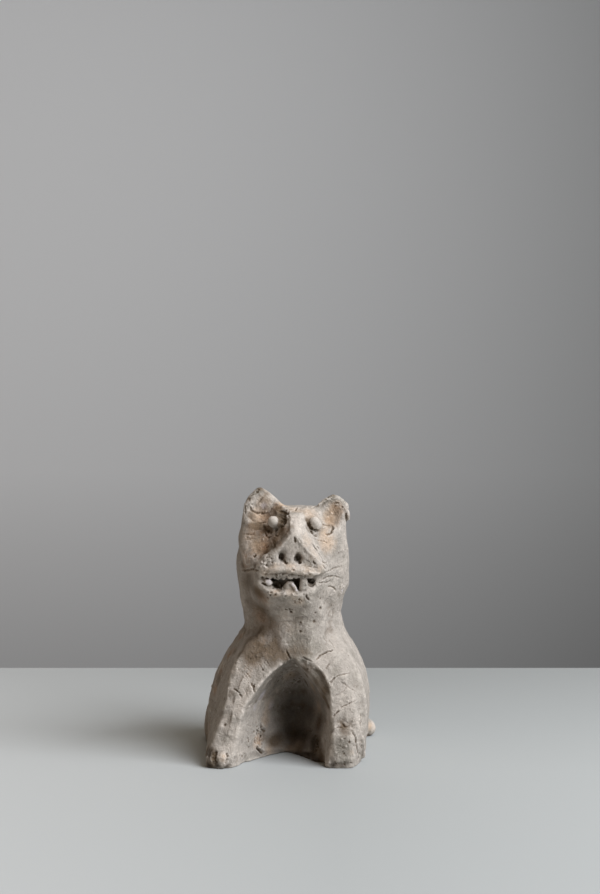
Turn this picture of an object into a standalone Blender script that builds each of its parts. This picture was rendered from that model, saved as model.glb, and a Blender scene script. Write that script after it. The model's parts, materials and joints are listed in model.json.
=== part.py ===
"""Tile cat: a seated cat, modelled by hand in tile clay and fired in one piece.

Run it with blender --background --python part.py, or from Blender's text editor.
Metres, +Z up. The face looks along -Y, so the cat's left side is at +X.
The origin is on the ground, under the middle of the figure's box.

The figure is worked as its maker would: lumps and rolls of clay are pressed
together and smeared into one skin, the hollow, eye sockets, ears, nostrils and
mouth are pressed in, the eyeballs and teeth are stuck on, and the foot is cut flat.
"""

import math

import bmesh
import bpy
from mathutils import Euler, Vector

# The one driving size. The rest of this figure is a share of its height.
HEIGHT = 0.139  # ground to the tip of the taller ear
UNIT = HEIGHT / 139  # the figure's own measure, a 139th of its height

# How finely the clay is worked, in units.
ROUGH_GRAIN = 1.3  # voxel that joins the lumps
FINE_GRAIN = 0.8  # voxel of the finished skin
ROUGH_STROKES = 5  # smoothing after the lumps are joined
FINE_STROKES = 3  # smoothing of the finished skin
TRIANGLES = 9300  # triangles of the skin before its foot is cut flat
BALL_FINENESS = 3  # subdivisions of the spheres that lumps are made from
COLUMN_SIDES = 48  # points round the column of clay
HOLLOW_STEPS = 20  # points round the hollow between the forelegs
SINK = 4  # how far the lumps reach below the ground before the foot is cut
FOOT_SNAP = 0.25  # corners this close to the ground are laid on it
FRONT_CLEAR = -52  # where the cutters start, clear of the figure's front
STEP_BACK = -37.2  # how far back the broken rim of the hollow lies
MIDDLE = (1.2, -0.8)  # the middle of the figure's box, in the frame its lumps are given in

CLAY_COLOUR = (0.46, 0.41, 0.35, 1)
CLAY_ROUGHNESS = 0.9


def at(x, y, z):
    """A point in the figure's units, as metres from under the middle of the figure."""
    return Vector((x - MIDDLE[0], y - MIDDLE[1], z)) * UNIT


def clear_scene():
    for old in list(bpy.data.objects):
        bpy.data.objects.remove(old)


# Ways of making a lump

def new_object(name, shape):
    """The bmesh as an object of its own, faces pointing out."""
    bmesh.ops.recalc_face_normals(shape, faces=shape.faces)
    mesh = bpy.data.meshes.new(name)
    shape.to_mesh(mesh)
    shape.free()
    made = bpy.data.objects.new(name, mesh)
    bpy.context.collection.objects.link(made)
    return made


def ball_points(middle, radii, turn=(0, 0, 0)):
    """Points on a ball that is squeezed to three radii and turned by degrees."""
    shape = bmesh.new()
    bmesh.ops.create_icosphere(shape, subdivisions=BALL_FINENESS, radius=1)
    matrix = Euler([math.radians(angle) for angle in turn]).to_matrix()
    points = []
    for corner in shape.verts:
        stretched = Vector([corner.co[axis] * radii[axis] for axis in range(3)])
        points.append((matrix @ stretched) * UNIT + at(*middle))
    shape.free()
    return points


def hull(name, points):
    """The tightest solid round some points."""
    shape = bmesh.new()
    for point in points:
        shape.verts.new(point)
    made = bmesh.ops.convex_hull(shape, input=shape.verts)
    spare = [part for part in made["geom_interior"] if isinstance(part, bmesh.types.BMVert)]
    bmesh.ops.delete(shape, geom=spare, context="VERTS")
    return new_object(name, shape)


def ball(name, middle, radii, turn=(0, 0, 0)):
    """A lump rolled between the palms."""
    return [hull(name, ball_points(middle, radii, turn))]


def block(name, corners):
    """A lump squared off with flat cuts."""
    return [hull(name, [at(*corner) for corner in corners])]


def roll(name, stops):
    """A tapered roll of clay through stops, each a middle and a radius."""
    groups = [ball_points(middle, (radius,) * 3) for middle, radius in stops]
    return [hull(name, start + end) for start, end in zip(groups, groups[1:])]


def slab(name, rows):
    """A limb cut to flat sides. Each row is a height and the corners of the limb there."""
    groups = [[at(x, y, height) for x, y in corners] for height, corners in rows]
    return [hull(name, low + high) for low, high in zip(groups, groups[1:])]


def loft(name, rings):
    """A skin over rings of as many points each, closed at both ends."""
    shape = bmesh.new()
    rows = [[shape.verts.new(point) for point in ring] for ring in rings]
    for low, high in zip(rows, rows[1:]):
        for here in range(len(low)):
            there = (here + 1) % len(low)
            shape.faces.new((low[here], low[there], high[there], high[here]))
    shape.faces.new(rows[0][::-1])
    shape.faces.new(rows[-1])
    return [new_object(name, shape)]


# The lumps

def level(height, middle, half_width, front, back, squareness):
    """One ring of the column: an ellipse pushed out towards a rectangle."""
    ring = []
    for step in range(COLUMN_SIDES):
        angle = 2 * math.pi * step / COLUMN_SIDES
        across, along = (
            math.copysign(abs(value) ** (2 / squareness), value)
            for value in (math.cos(angle), math.sin(angle))
        )
        x = middle + half_width * across
        y = (front + back) / 2 + (back - front) / 2 * along
        ring.append(at(x, y, height))
    return ring


def column():
    """Rump, belly, neck and head are one column of clay, narrow at the neck."""
    return loft("column", [
        level(-SINK, 0.0, 39.5, -33.0, 39.0, 3.2),
        level(8, 0.2, 41.0, -34.0, 40.0, 3.0),
        level(20, 0.6, 42.4, -34.5, 40.0, 2.8),
        level(32, 1.3, 41.8, -34.5, 37.0, 2.7),
        level(41, 2.3, 39.8, -34.5, 33.5, 2.6),
        level(48, 2.9, 36.8, -33.5, 29.5, 2.5),
        level(54, 3.6, 33.2, -31.5, 24.5, 2.5),
        level(60, 3.9, 29.4, -29.5, 18.5, 2.4),
        level(66, 3.7, 26.0, -27.0, 13.0, 2.4),
        level(74, 2.4, 25.8, -25.5, 9.5, 2.4),
        level(82, 2.4, 27.6, -26.5, 10.5, 2.5),
        level(92, 2.8, 29.4, -28.5, 12.5, 2.6),
        level(101, 2.9, 30.0, -30.0, 13.5, 2.7),
        level(112, 3.3, 28.0, -30.5, 12.5, 2.6),
        level(121, 3.8, 27.0, -30.0, 9.0, 2.6),
        level(127, 4.2, 25.0, -28.5, 3.5, 2.5),
        level(129.3, 4.4, 20.0, -26.0, -4.0, 2.4),
    ])


def forelegs():
    """Two props, wide apart at the paws, that meet above the hollow."""
    right = slab("foreleg_right", (
        (-SINK, ((-40.6, -43.5), (-26.0, -45.0), (-41.5, -6), (-12, -12))),
        (5, ((-40.5, -44.0), (-26.0, -45.0), (-42.0, -5), (-12, -12))),
        (13, ((-36.8, -43.0), (-25.0, -44.0), (-42.3, -4), (-12, -12))),
        (27, ((-32.0, -42.0), (-21.0, -43.5), (-42.0, -4), (-12, -12))),
        (40, ((-29.0, -39.5), (-10.0, -42.0), (-38.8, -4), (-6, -12))),
        (52, ((-25.0, -34.5), (-1.0, -38.5), (-32.7, -4), (0, -12))),
        (59, ((-20.5, -32.0), (0.0, -33.5), (-28.5, -5), (0, -12))),
        (65, ((-12.5, -29.5), (0.0, -30.0), (-24.5, -6), (0, -12))),
        (76, ((-9.5, -27.0), (0.0, -28.0), (-19.0, -6), (0, -12))),
    ))
    left = slab("foreleg_left", (
        (-SINK, ((21.0, -42.5), (33.5, -42.5), (36.5, -34.0), (40.0, -8), (14, -12))),
        (5, ((21.0, -43.0), (35.0, -43.0), (38.0, -35.0), (41.5, -6), (14, -12))),
        (13, ((21.5, -43.0), (35.5, -43.0), (39.8, -36.0), (42.8, -5), (14, -12))),
        (24, ((21.5, -43.0), (35.0, -42.5), (40.8, -36.0), (43.8, -4), (13, -12))),
        (34, ((21.5, -42.8), (33.5, -41.5), (40.0, -35.0), (43.8, -4), (12, -12))),
        (44, ((15.0, -42.0), (30.0, -39.5), (37.5, -32.5), (41.2, -4), (8, -12))),
        (52, ((6.0, -39.0), (26.5, -36.5), (33.0, -29.5), (36.5, -4), (4, -12))),
        (64, ((5.0, -28.0), (19.0, -28.0), (26.0, -23.0), (29.5, -6), (4, -12))),
    ))
    paw_left = slab("paw_left", (
        (-SINK, ((19.0, -44.5), (32.5, -45.0), (19.5, -30), (32, -30))),
        (8, ((19.5, -45.5), (34.5, -46.0), (19.5, -30), (35, -30))),
        (19, ((22.5, -45.0), (32.5, -45.0), (22.5, -30), (33, -30))),
    ))
    toe_right = ball("toe_right", (-33.5, -43.0, 3.5), (5.5, 4.0, 6.0))
    return right + left + paw_left + toe_right


def throat():
    """The throat runs from the jaw to a point over the hollow, and turns to the cat's right."""
    return slab("throat", (
        (49.5, ((2.0, -37.0), (8.5, -38.5), (2, -25), (8, -25))),
        (53, ((-0.5, -37.0), (4.5, -38.5), (11.0, -39.5), (0, -25), (10, -25))),
        (62, ((-6.0, -31.5), (2.5, -34.5), (12.0, -36.0), (19.0, -32.0), (-10, -20), (22, -20))),
        (73, ((-9.5, -30.0), (1.0, -33.5), (11.0, -34.5), (19.5, -30.5), (-15, -18), (24, -18))),
        (84, ((-10.5, -36.0), (0.0, -39.0), (11.0, -39.0), (17.0, -35.0), (-17, -20), (23, -20))),
    ))


def hindquarters():
    """Haunches low on both flanks, their paws, and the tail curled round to the left."""
    tail = (
        ((0, 38, 6), 7.0),
        ((20, 39, 5.2), 6.4),
        ((35, 34.5, 4.6), 5.6),
        ((44.0, 26.5, 4.2), 5.2),
    )
    return (
        ball("haunch_right", (-32.0, 19, 8), (14.0, 21, 21))
        + ball("haunch_left", (30.5, 19, 9), (14.0, 21, 21))
        + ball("hind_paw_right", (-35.5, -6, 2), (6.5, 10, 6.5))
        + ball("hind_paw_left", (35.5, -6, 2), (6.5, 10, 6.5))
        + roll("tail", tail)
    )


def cheeks():
    """The flats on both sides of the face, and the jowl that hangs out beside the left one."""
    right = block("cheek_right", (
        # outer edge, from the ear down
        (-23.0, -26, 128), (-26.0, -20, 115), (-25.2, -23.5, 109), (-22.8, -29.0, 103),
        # lower edge, from the outside in
        (-21.0, -31.5, 101), (-12, -35, 103),
        # beside the nose, and the root inside the head
        (-4, -34.0, 119), (-3, -31.5, 127), (-20, -20, 92), (-4, -20, 95), (-4, -20, 127),
    ))
    left = block("cheek_left", (
        # outer edge, from the ear down
        (30.5, -25, 127), (31.0, -22, 114), (32.0, -19, 100), (29.5, -19, 86),
        # the corner of the cheek
        (26.5, -29.0, 101), (20, -35.0, 104), (11, -34.0, 119), (11, -31.5, 127),
        # beside the mouth, down to the neck
        (19.5, -38.0, 97), (18.5, -37.0, 89), (14, -33.0, 80), (25, -21, 78),
        # the root inside the head
        (12, -20, 80), (12, -20, 127),
    ))
    jowl = ball("jowl", (24.4, -7, 91), (8.6, 15, 12))
    return right + left + jowl


def nose():
    """The brow and the wedge that stands out from it, with a flat triangular front."""
    brow = block("brow", (
        # between the eyes
        (-5.0, -32.0, 124), (1, -34.0, 125.5), (9, -34.0, 125.5), (13, -32.0, 124),
        # its upper edge, from ear to ear, and the crown of the head
        (-9, -27, 128.3), (-1, -29.5, 129.3), (10, -29.5, 129.3), (16, -27, 128.3),
        (-6, -16, 129.8), (15, -16, 129.8),
    ))
    wedge = block("nose", (
        # the bridge, from the brow down to the tip
        (1.6, -35.0, 127.5), (8.0, -35.0, 127.5), (2.0, -40.0, 121.5), (6.6, -39.5, 121.5),
        (3.2, -47.0, 116.8), (4.8, -47.0, 116.8),
        # the wings, and the lip below them
        (-11.0, -44.8, 102.5), (17.2, -44.5, 102.0), (-13.5, -42.0, 98), (20.5, -41.5, 98),
        # the root inside the head
        (-15, -28, 94), (24, -28, 94), (-5, -29, 122), (14, -29, 122),
    ))
    return brow + wedge


def muzzle():
    """The jaw, and two rolls of clay for the lips."""
    jaw = slab("jaw", (
        (76, ((-10, -30), (17, -30), (-8, -15), (12, -15))),
        (80.5, ((-9.0, -36.5), (4.0, -38.5), (12.0, -38.5), (-17, -24), (22, -24))),
        (85, ((-9.5, -40.5), (12, -40.5), (-19, -24), (25, -24))),
        (92, ((-14.5, -40.0), (17.5, -40.0), (-20, -24), (27, -24))),
        (102, ((-15.0, -38.5), (19.0, -38.5), (-20, -24), (28, -24))),
    ))
    upper_lip = roll("upper_lip", (
        ((-14.5, -38.5, 97.5), 2.4),
        ((-6, -43.0, 99.2), 2.6),
        ((8, -43.3, 99.2), 2.6),
        ((18.5, -40.5, 99.0), 2.2),
    ))
    lower_lip = roll("lower_lip", (
        ((-15.5, -38.5, 96), 2.0),
        ((-13, -40.5, 90.4), 1.9),
        ((-5, -41.4, 86.6), 1.9),
        ((6, -41.2, 86.4), 1.9),
        ((13.5, -39.5, 88.4), 1.8),
    ))
    return jaw + upper_lip + lower_lip


def ears():
    """Two thick flaps at the front corners of the head, the right one taller."""
    right = block("ear_right", (
        # the front, round from the outer foot over the tip to the inner foot
        (-21.5, -26, 119), (-23.2, -25.5, 130), (-20.8, -25.0, 135.2), (-14.4, -24.0, 140.8),
        (-10.2, -24.0, 138.0), (-4.5, -25, 132.9), (0.5, -27, 128.5), (-2, -29, 121),
        # the back, the same way round
        (-20, -13, 119), (-19.5, -14, 129), (-13.5, -17, 137), (-5, -15, 131.5), (-3, -12, 121),
    ))
    left = block("ear_left", (
        # the front, round from the outer foot over the tip to the inner foot
        (30.0, -26, 119), (31.4, -25, 125), (33.0, -25, 130.2), (28.0, -24.5, 135.0),
        (23.3, -24.5, 136.8), (18.5, -25.5, 133.6), (15.5, -26.5, 129.3), (13, -27, 124),
        # the back, the same way round
        (30.0, -13, 121), (29.5, -15, 130), (24.5, -16.5, 134.5), (20, -15, 131), (16, -13, 124),
    ))
    return right + left


def eyes_and_teeth():
    """Clay balls pressed on for the eyes, and three stubs for the teeth."""
    return (
        ball("eye_right", (-6.9, -34.0, 122.2), (3.1, 3.1, 3.1))
        + ball("eye_left", (14.4, -34.2, 120.9), (3.0, 3.0, 3.4))
        + ball("canine", (-9.6, -39.0, 92.4), (2.4, 2.4, 2.0))
        + roll("fang", (((1.2, -38.0, 87.0), 3.6), ((2.0, -39.8, 91.6), 2.1)))
        + roll("tooth", (((9.0, -38.5, 88.5), 2.4), ((8.8, -39.0, 93.0), 1.9)))
    )


# What is pressed in

def bay(height, right, left, apex, depth, right_roundness, left_roundness):
    """One level of the hollow: open in front, and from a V to a U at its back."""
    outline = []
    for step in range(HOLLOW_STEPS + 1):
        across = 2 * step / HOLLOW_STEPS - 1
        side = left if across > 0 else right
        roundness = left_roundness if across > 0 else right_roundness
        back = depth + (FRONT_CLEAR - depth) * abs(across) ** roundness
        outline.append(at(apex + (side - apex) * abs(across), back, height))
    return outline


def hollow():
    """The deep hollow between the forelegs, pointed at the top and open to the ground."""
    return loft("hollow", [
        bay(-2 * SINK, -31.5, 24.0, -0.5, -14.0, 1.3, 1.3),
        bay(0, -31.5, 24.0, -0.5, -12.5, 1.3, 1.3),
        bay(8, -29.5, 24.5, 3.0, -8.5, 1.8, 1.3),
        bay(16, -27.0, 25.2, 7.0, -3.0, 2.2, 1.2),
        bay(22, -25.5, 25.4, 9.0, 1.0, 2.3, 1.15),
        bay(30, -23.5, 24.8, 9.0, 0.0, 2.4, 1.15),
        bay(38, -17.5, 20.0, 7.0, -5.0, 2.4, 1.2),
        bay(45, -11.5, 14.0, 4.5, -14.0, 2.3, 1.5),
        bay(50, -5.0, 8.5, 3.0, -26.0, 2.2, 2.2),
        bay(53.5, 1.5, 5.5, 3.5, -36.0, 2.2, 2.2),
    ])


def rim_step():
    """The clay of the left foreleg broke off along the rim of the hollow, one layer deep."""
    outline = (
        (3.0, STEP_BACK, 50.5), (8.2, STEP_BACK, 54.2), (14.2, STEP_BACK, 49.0),
        (18.5, STEP_BACK, 46.2), (21.7, -39.0, 39.8), (22.4, -42.6, 30.0), (14.0, -39.0, 34.0),
    )
    clear = [(x, FRONT_CLEAR, z) for x, y, z in outline]
    return block("rim_step", [*outline, *clear])


def mouth():
    """An open mouth, wider at the lips than inside."""
    return block("mouth", (
        # the opening, held clear in front of the lips
        (-18.5, FRONT_CLEAR, 93.6), (-12, FRONT_CLEAR, 96.9),
        (12, FRONT_CLEAR, 97.3), (17.0, FRONT_CLEAR, 93.2),
        (9, FRONT_CLEAR, 87.2), (-1, FRONT_CLEAR, 86.8), (-10, FRONT_CLEAR, 89.0),
        # the back of the mouth
        (-11.5, -36, 93.5), (-6, -34.5, 96.0), (10, -34.5, 96.0), (14.0, -36, 92.5),
        (8, -35, 89.0), (-4, -35, 89.0),
    ))


def thumb_and_stick_presses():
    """Nostrils pushed in with a stick, and sockets and ears pressed with the thumb."""
    return (
        ball("nostril_right", (-2.5, -46, 105.2), (1.9, 7, 3.0))
        + ball("nostril_left", (5.6, -46, 104.7), (2.2, 7, 2.9))
        + ball("socket_right", (-10.0, -38.5, 120.5), (8.0, 7.0, 6.2))
        + ball("socket_left", (16.0, -38.5, 120.6), (6.5, 6.5, 5.6))
        + ball("ear_hollow_right", (-13.2, -33.5, 129.0), (8.8, 9.4, 12.5), (0, 14, 0))
        + ball("ear_hollow_left", (24.2, -33.0, 127.5), (7.6, 8.8, 10.5), (0, -10, 0))
    )


# Working the clay

def join(name, pieces):
    """The pieces' meshes in one object, overlapping until they are kneaded."""
    shape = bmesh.new()
    for piece in pieces:
        shape.from_mesh(piece.data)
        bpy.data.objects.remove(piece)
    return new_object(name, shape)


def settle(piece):
    """Replaces the object's mesh by what its modifiers make of it."""
    graph = bpy.context.evaluated_depsgraph_get()
    made = bpy.data.meshes.new_from_object(piece.evaluated_get(graph))
    piece.modifiers.clear()
    piece.data = made


def knead(piece, grain, strokes):
    """Makes overlapping lumps one skin and smears their joints."""
    skin = piece.modifiers.new("one skin", "REMESH")
    skin.mode = "VOXEL"
    skin.voxel_size = grain * UNIT
    smear = piece.modifiers.new("smear", "SMOOTH")
    smear.factor = 0.5
    smear.iterations = strokes
    settle(piece)


def press(piece, cutter):
    """Takes the cutter's shape out of the piece."""
    cut = piece.modifiers.new(cutter.name, "BOOLEAN")
    cut.operation = "DIFFERENCE"
    cut.object = cutter
    settle(piece)
    bpy.data.objects.remove(cutter)


def thin_out(piece):
    """Fewer, larger triangles where the skin is flat."""
    faces = sum(len(face.vertices) - 2 for face in piece.data.polygons)
    fewer = piece.modifiers.new("fewer", "DECIMATE")
    fewer.ratio = TRIANGLES / faces
    settle(piece)


def cut_foot(piece):
    """Slices off what is below the ground and closes the cut with one flat face."""
    shape = bmesh.new()
    shape.from_mesh(piece.data)
    for corner in shape.verts:
        if abs(corner.co.z) < FOOT_SNAP * UNIT:
            corner.co.z = 0
    everything = shape.verts[:] + shape.edges[:] + shape.faces[:]
    down = (0, 0, -1)
    cut = bmesh.ops.bisect_plane(shape, geom=everything, plane_no=down, clear_outer=True)
    edges = [part for part in cut["geom_cut"] if isinstance(part, bmesh.types.BMEdge)]
    rim = [edge for edge in edges if edge.is_boundary]
    bmesh.ops.edgeloop_fill(shape, edges=rim)
    bmesh.ops.triangulate(shape, faces=shape.faces[:])
    bmesh.ops.recalc_face_normals(shape, faces=shape.faces)
    shape.to_mesh(piece.data)
    shape.free()


def clay():
    """Low-fired clay, matt and buff."""
    material = bpy.data.materials.new("fired clay")
    material.use_nodes = True
    shader = material.node_tree.nodes["Principled BSDF"]
    shader.inputs["Base Color"].default_value = CLAY_COLOUR
    shader.inputs["Roughness"].default_value = CLAY_ROUGHNESS
    return material


def tile_cat():
    lumps = column() + forelegs() + throat() + hindquarters() + cheeks() + nose() + muzzle() + ears()
    cat = join("tile_cat", lumps)
    knead(cat, ROUGH_GRAIN, ROUGH_STROKES)
    for cutter in hollow() + rim_step() + mouth() + thumb_and_stick_presses():
        press(cat, cutter)
    cat = join("tile_cat", [cat] + eyes_and_teeth())
    knead(cat, FINE_GRAIN, FINE_STROKES)
    thin_out(cat)
    cut_foot(cat)
    cat.data.materials.clear()
    cat.data.materials.append(clay())
    cat.data.shade_smooth()
    return cat


clear_scene()
tile_cat()
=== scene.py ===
# %% [markdown]
# A tile cat, modelled by hand in one lump of tile clay and fired without a glaze.
# The construction model gives its form to within a millimetre. What is missing is the hand:
# finger strokes, cuts of a stick, cracks, pores, crumbs and the smoke clouds of the kiln.
# This lesson takes the constructed form as wet clay and works it in a potter's order:
# press on small lumps, make one skin, stroke it, cut it, let it crack, fire it.

# %% The frame
import json
import math
import random

import bmesh
import bpy
import numpy as np
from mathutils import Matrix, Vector, noise
from mathutils.bvhtree import BVHTree

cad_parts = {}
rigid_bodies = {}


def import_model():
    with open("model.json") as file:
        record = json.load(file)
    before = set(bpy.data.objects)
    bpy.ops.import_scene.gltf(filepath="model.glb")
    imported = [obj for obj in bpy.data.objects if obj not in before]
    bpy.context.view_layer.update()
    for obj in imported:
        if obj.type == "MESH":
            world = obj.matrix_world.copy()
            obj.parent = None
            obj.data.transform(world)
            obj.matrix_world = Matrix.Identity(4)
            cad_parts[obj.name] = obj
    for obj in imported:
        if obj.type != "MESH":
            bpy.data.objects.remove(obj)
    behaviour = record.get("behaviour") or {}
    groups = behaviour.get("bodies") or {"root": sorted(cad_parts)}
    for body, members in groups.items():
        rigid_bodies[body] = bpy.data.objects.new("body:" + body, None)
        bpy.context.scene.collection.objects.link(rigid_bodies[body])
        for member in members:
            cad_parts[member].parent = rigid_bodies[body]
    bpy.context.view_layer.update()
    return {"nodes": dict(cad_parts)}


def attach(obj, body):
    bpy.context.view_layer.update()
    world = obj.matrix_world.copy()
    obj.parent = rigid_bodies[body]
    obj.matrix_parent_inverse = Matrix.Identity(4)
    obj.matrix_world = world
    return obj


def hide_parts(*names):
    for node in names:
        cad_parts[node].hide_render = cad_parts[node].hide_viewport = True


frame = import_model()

MM = 0.001

# %% [markdown]
# The camera comes first, because the marks on the front are placed by it.
# It stands level, a little to the cat's left, and looks along +Y through a 50 mm lens.
# A 36 mm frame is the long side of the picture, so the lens has no tilt and no shift.

# %% The camera
LENS = 50
FRAME_SIDE = 36
CAMERA_AT = Vector((5.5, -662.2, 160.0)) * MM

camera_data = bpy.data.cameras.new("camera")
camera_data.lens = LENS
camera_data.sensor_width = FRAME_SIDE
camera = bpy.data.objects.new("camera", camera_data)
camera.location = CAMERA_AT
camera.rotation_euler = (math.radians(90), 0, 0)
bpy.context.scene.collection.objects.link(camera)
bpy.context.scene.camera = camera
print("camera at", tuple(round(value, 4) for value in CAMERA_AT))

# %% [markdown]
# Marks are noted as on a tracing: an upright sheet of paper just in front of the face,
# where one pixel of the photograph covers half a millimetre. A point of the tracing is
# x and z in the figure's own millimetres. A ray from the camera through it finds the clay.
# The sides and the back have tracings too, seen square on from an azimuth.

# %% Tracings
PICTURE_HEIGHT = 894
PIXEL = 0.5 * MM
SHEET_Y = CAMERA_AT.y + PIXEL * PICTURE_HEIGHT * LENS / FRAME_SIDE
FAR = 300 * MM


class Tracing:
    """Finds the clay behind a point of the tracing, from the front or from an azimuth."""

    def __init__(self, piece, azimuth=None):
        self.skin = BVHTree.FromObject(piece, bpy.context.evaluated_depsgraph_get())
        self.azimuth = azimuth

    def touch(self, x, z):
        """The clay's point and its normal, or None past the outline."""
        if self.azimuth is None:
            start = CAMERA_AT
            towards = Vector((x * MM, SHEET_Y, z * MM)) - start
        else:
            turn = math.radians(self.azimuth)
            right = Vector((math.cos(turn), math.sin(turn), 0))
            towards = Vector((-math.sin(turn), math.cos(turn), 0))
            start = right * x * MM - towards * FAR + Vector((0, 0, z * MM))
        point, normal, _, _ = self.skin.ray_cast(start, towards.normalized())
        return None if point is None else (point, normal)


# %% [markdown]
# The wet clay is a copy of the constructed solid. Its corners are merged, and a voxel
# remesh with a few strokes of smoothing takes the facets out, as a wet hand would.

# %% The wet clay
ROUGH_GRAIN = 0.7 * MM
ROUGH_STROKES = 3
MERGE = 0.001 * MM


def new_piece(name, shape):
    """An object from a bmesh, with its faces pointing out."""
    bmesh.ops.recalc_face_normals(shape, faces=shape.faces)
    mesh = bpy.data.meshes.new(name)
    shape.to_mesh(mesh)
    shape.free()
    piece = bpy.data.objects.new(name, mesh)
    bpy.context.scene.collection.objects.link(piece)
    return piece


def settle(piece):
    """Makes what the modifiers show the piece's own mesh, and takes the modifiers off."""
    graph = bpy.context.evaluated_depsgraph_get()
    mesh = bpy.data.meshes.new_from_object(piece.evaluated_get(graph))
    piece.modifiers.clear()
    old = piece.data
    piece.data = mesh
    bpy.data.meshes.remove(old)


def size_of(piece):
    """The piece's width, depth and height in millimetres, for printing."""
    return [round(size / MM, 1) for size in piece.dimensions]


def knead(piece, grain, strokes):
    """Makes overlapping lumps one skin of the given grain and smears the joints."""
    skin = piece.modifiers.new("skin", "REMESH")
    skin.mode = "VOXEL"
    skin.voxel_size = grain
    smear = piece.modifiers.new("smear", "SMOOTH")
    smear.iterations = strokes
    settle(piece)


solid = bmesh.new()
solid.from_mesh(frame["nodes"]["tile_cat"].data)
bmesh.ops.remove_doubles(solid, verts=solid.verts, dist=MERGE)
cat = new_piece("tile_cat_clay", solid)
knead(cat, ROUGH_GRAIN, ROUGH_STROKES)
front = Tracing(cat)
print("wet clay:", len(cat.data.vertices), "corners", size_of(cat))

# %% [markdown]
# Small lumps are pressed on next. Each is the tightest skin round one or more balls, and a
# rope is a chain of such lumps. In the mouth a ball has its own place. Elsewhere it is
# pressed on where the tracing touches the clay, and stands out by a stated amount.

# %% Ways to press on a lump
def ball(x, y, z, radius):
    """Points on a small ball at a place in the figure's millimetres."""
    shape = bmesh.new()
    bmesh.ops.create_icosphere(shape, subdivisions=3, radius=radius * MM)
    points = [corner.co + Vector((x, y, z)) * MM for corner in shape.verts]
    shape.free()
    return points


def pat(x, z, radius, out):
    """Points on a ball pressed into the front of the clay until it stands out by so much."""
    point, _ = front.touch(x, z)
    middle = point / MM + (point - CAMERA_AT).normalized() * (radius - out)
    return ball(*middle, radius)


def under(x, z, radius, drop):
    """Points on a ball that is flush with the clay there, moved down by a drop."""
    point, _ = front.touch(x, z)
    return ball(*(point / MM + Vector((0, radius, -drop))), radius)


def lump(shape, *balls):
    """Adds the tightest skin round the balls to a bmesh."""
    corners = [shape.verts.new(point) for points in balls for point in points]
    made = bmesh.ops.convex_hull(shape, input=corners)
    inner = made["geom_interior"] + made["geom_unused"]
    spare = {part for part in inner if isinstance(part, bmesh.types.BMVert)}
    bmesh.ops.delete(shape, geom=list(spare), context="VERTS")


def rope(shape, *balls):
    """A thin roll of clay: one lump from each ball to the next."""
    for here, there in zip(balls, balls[1:]):
        lump(shape, here, there)


def press_on(shape, *lumps):
    """Each lump says how its balls are joined, how they are placed, and what they are."""
    for join, place, *balls in lumps:
        join(shape, *(place(*numbers) for numbers in balls))


extra = bmesh.new()
print("a ball is", len(ball(0, 0, 0, 1)), "points")

# %% [markdown]
# The eyes are two rolled pellets, set into thumbed sockets. They stand almost free,
# so each keeps a dark line round it.

# %% Eyes
EYE_RADIUS = 2.7
press_on(extra, (lump, ball, (-7.9, -34, 122.2, EYE_RADIUS)),
         (lump, ball, (12.8, -33.5, 122, EYE_RADIUS), (13.9, -33.5, 120.5, EYE_RADIUS)))
print("eyes:", len(extra.verts), "corners")

# %% [markdown]
# The mouth was cut open and then filled with scraps: a ragged gum behind the upper lip,
# a pearl at the corner, a broad fang with a curled edge, a stub of a tooth and crumbs deep
# in the corner. The upper lip hangs over it as a roll, and the lower lip is thin and rough.

# %% Mouth
press_on(extra, (rope, ball, (-10.4, -41, 95.8, 1.3), (-6, -41.8, 96.2, 1.5), (-1, -42, 96.4, 1.7),
                 (4, -41.6, 96, 1.5), (11, -40.4, 95.4, 1.3)))
# scraps of gum, each leaning in and up
for x, y, z, radius in ((-9.4, -41.2, 95.2, 1.2), (-5.6, -41.6, 95, 1.5), (-2.6, -41, 94.4, 1.1),
                        (0.4, -42.2, 95.4, 1.6), (3.6, -41.2, 95, 1.1), (7.8, -40.6, 95, 1.3)):
    press_on(extra, (lump, ball, (x, y, z, radius), (x + 0.8, y + 1, z + 1.6, radius)))
press_on(
    extra,
    # the pearl, the fang with its curled edge, and the stub
    (lump, ball, (-11.4, -40.8, 92.7, 1), (-10, -40.8, 92.2, 1.5), (-9.4, -39.6, 92, 1.4)),
    (lump, ball, (-2.6, -38.4, 88.4, 1.5), (2.2, -39, 87.4, 2.2), (-0.4, -40, 91.4, 1.3)),
    (rope, ball, (-0.6, -40.6, 92.4, 0.7), (1.4, -41.4, 91.6, 0.9), (3, -41.4, 89.6, 0.9),
     (3.9, -40.8, 87.2, 0.9)),
    (lump, ball, (6.8, -40.6, 89.8, 1.8), (7.8, -40.4, 90.2, 1.7), (7, -40.8, 93.6, 1.6),
     (8, -40.6, 93, 1.4)),
    # crumbs in the corner, the upper lip and the lower lip
    (lump, ball, (-6.8, -36.6, 92.4, 1.2)), (lump, ball, (-5, -36, 90.2, 1.3)),
    (lump, ball, (-4.2, -38.2, 93.4, 1)),
    (rope, under, (-12.4, 98.6, 1, 1.2), (-8, 99.4, 1.2, 1.3), (-3, 99.8, 1.3, 1.3), (2, 99.6, 1.3, 1.6),
     (7, 99, 1.3, 2), (11, 98.4, 1.2, 1.8), (14.4, 98, 1, 1.2)),
    (lump, pat, (-12.4, 89.6, 1.2, 0.5), (-10, 88, 1.1, 0.4)),
    (lump, pat, (-8.6, 87.2, 1, 0.35), (-5.8, 86.6, 1.1, 0.3)))
print("with the mouth:", len(extra.verts), "corners")

# %% [markdown]
# The ears were pinched, which left a rolled rim. The toes, the slab of the left paw, the
# right corner of the muzzle, a scrap on the jowl and crumbs along the edge of the hollow
# are pressed on in the same way.

# %% Rims, toes and scraps
CRUMB_OUT = 0.45

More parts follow.
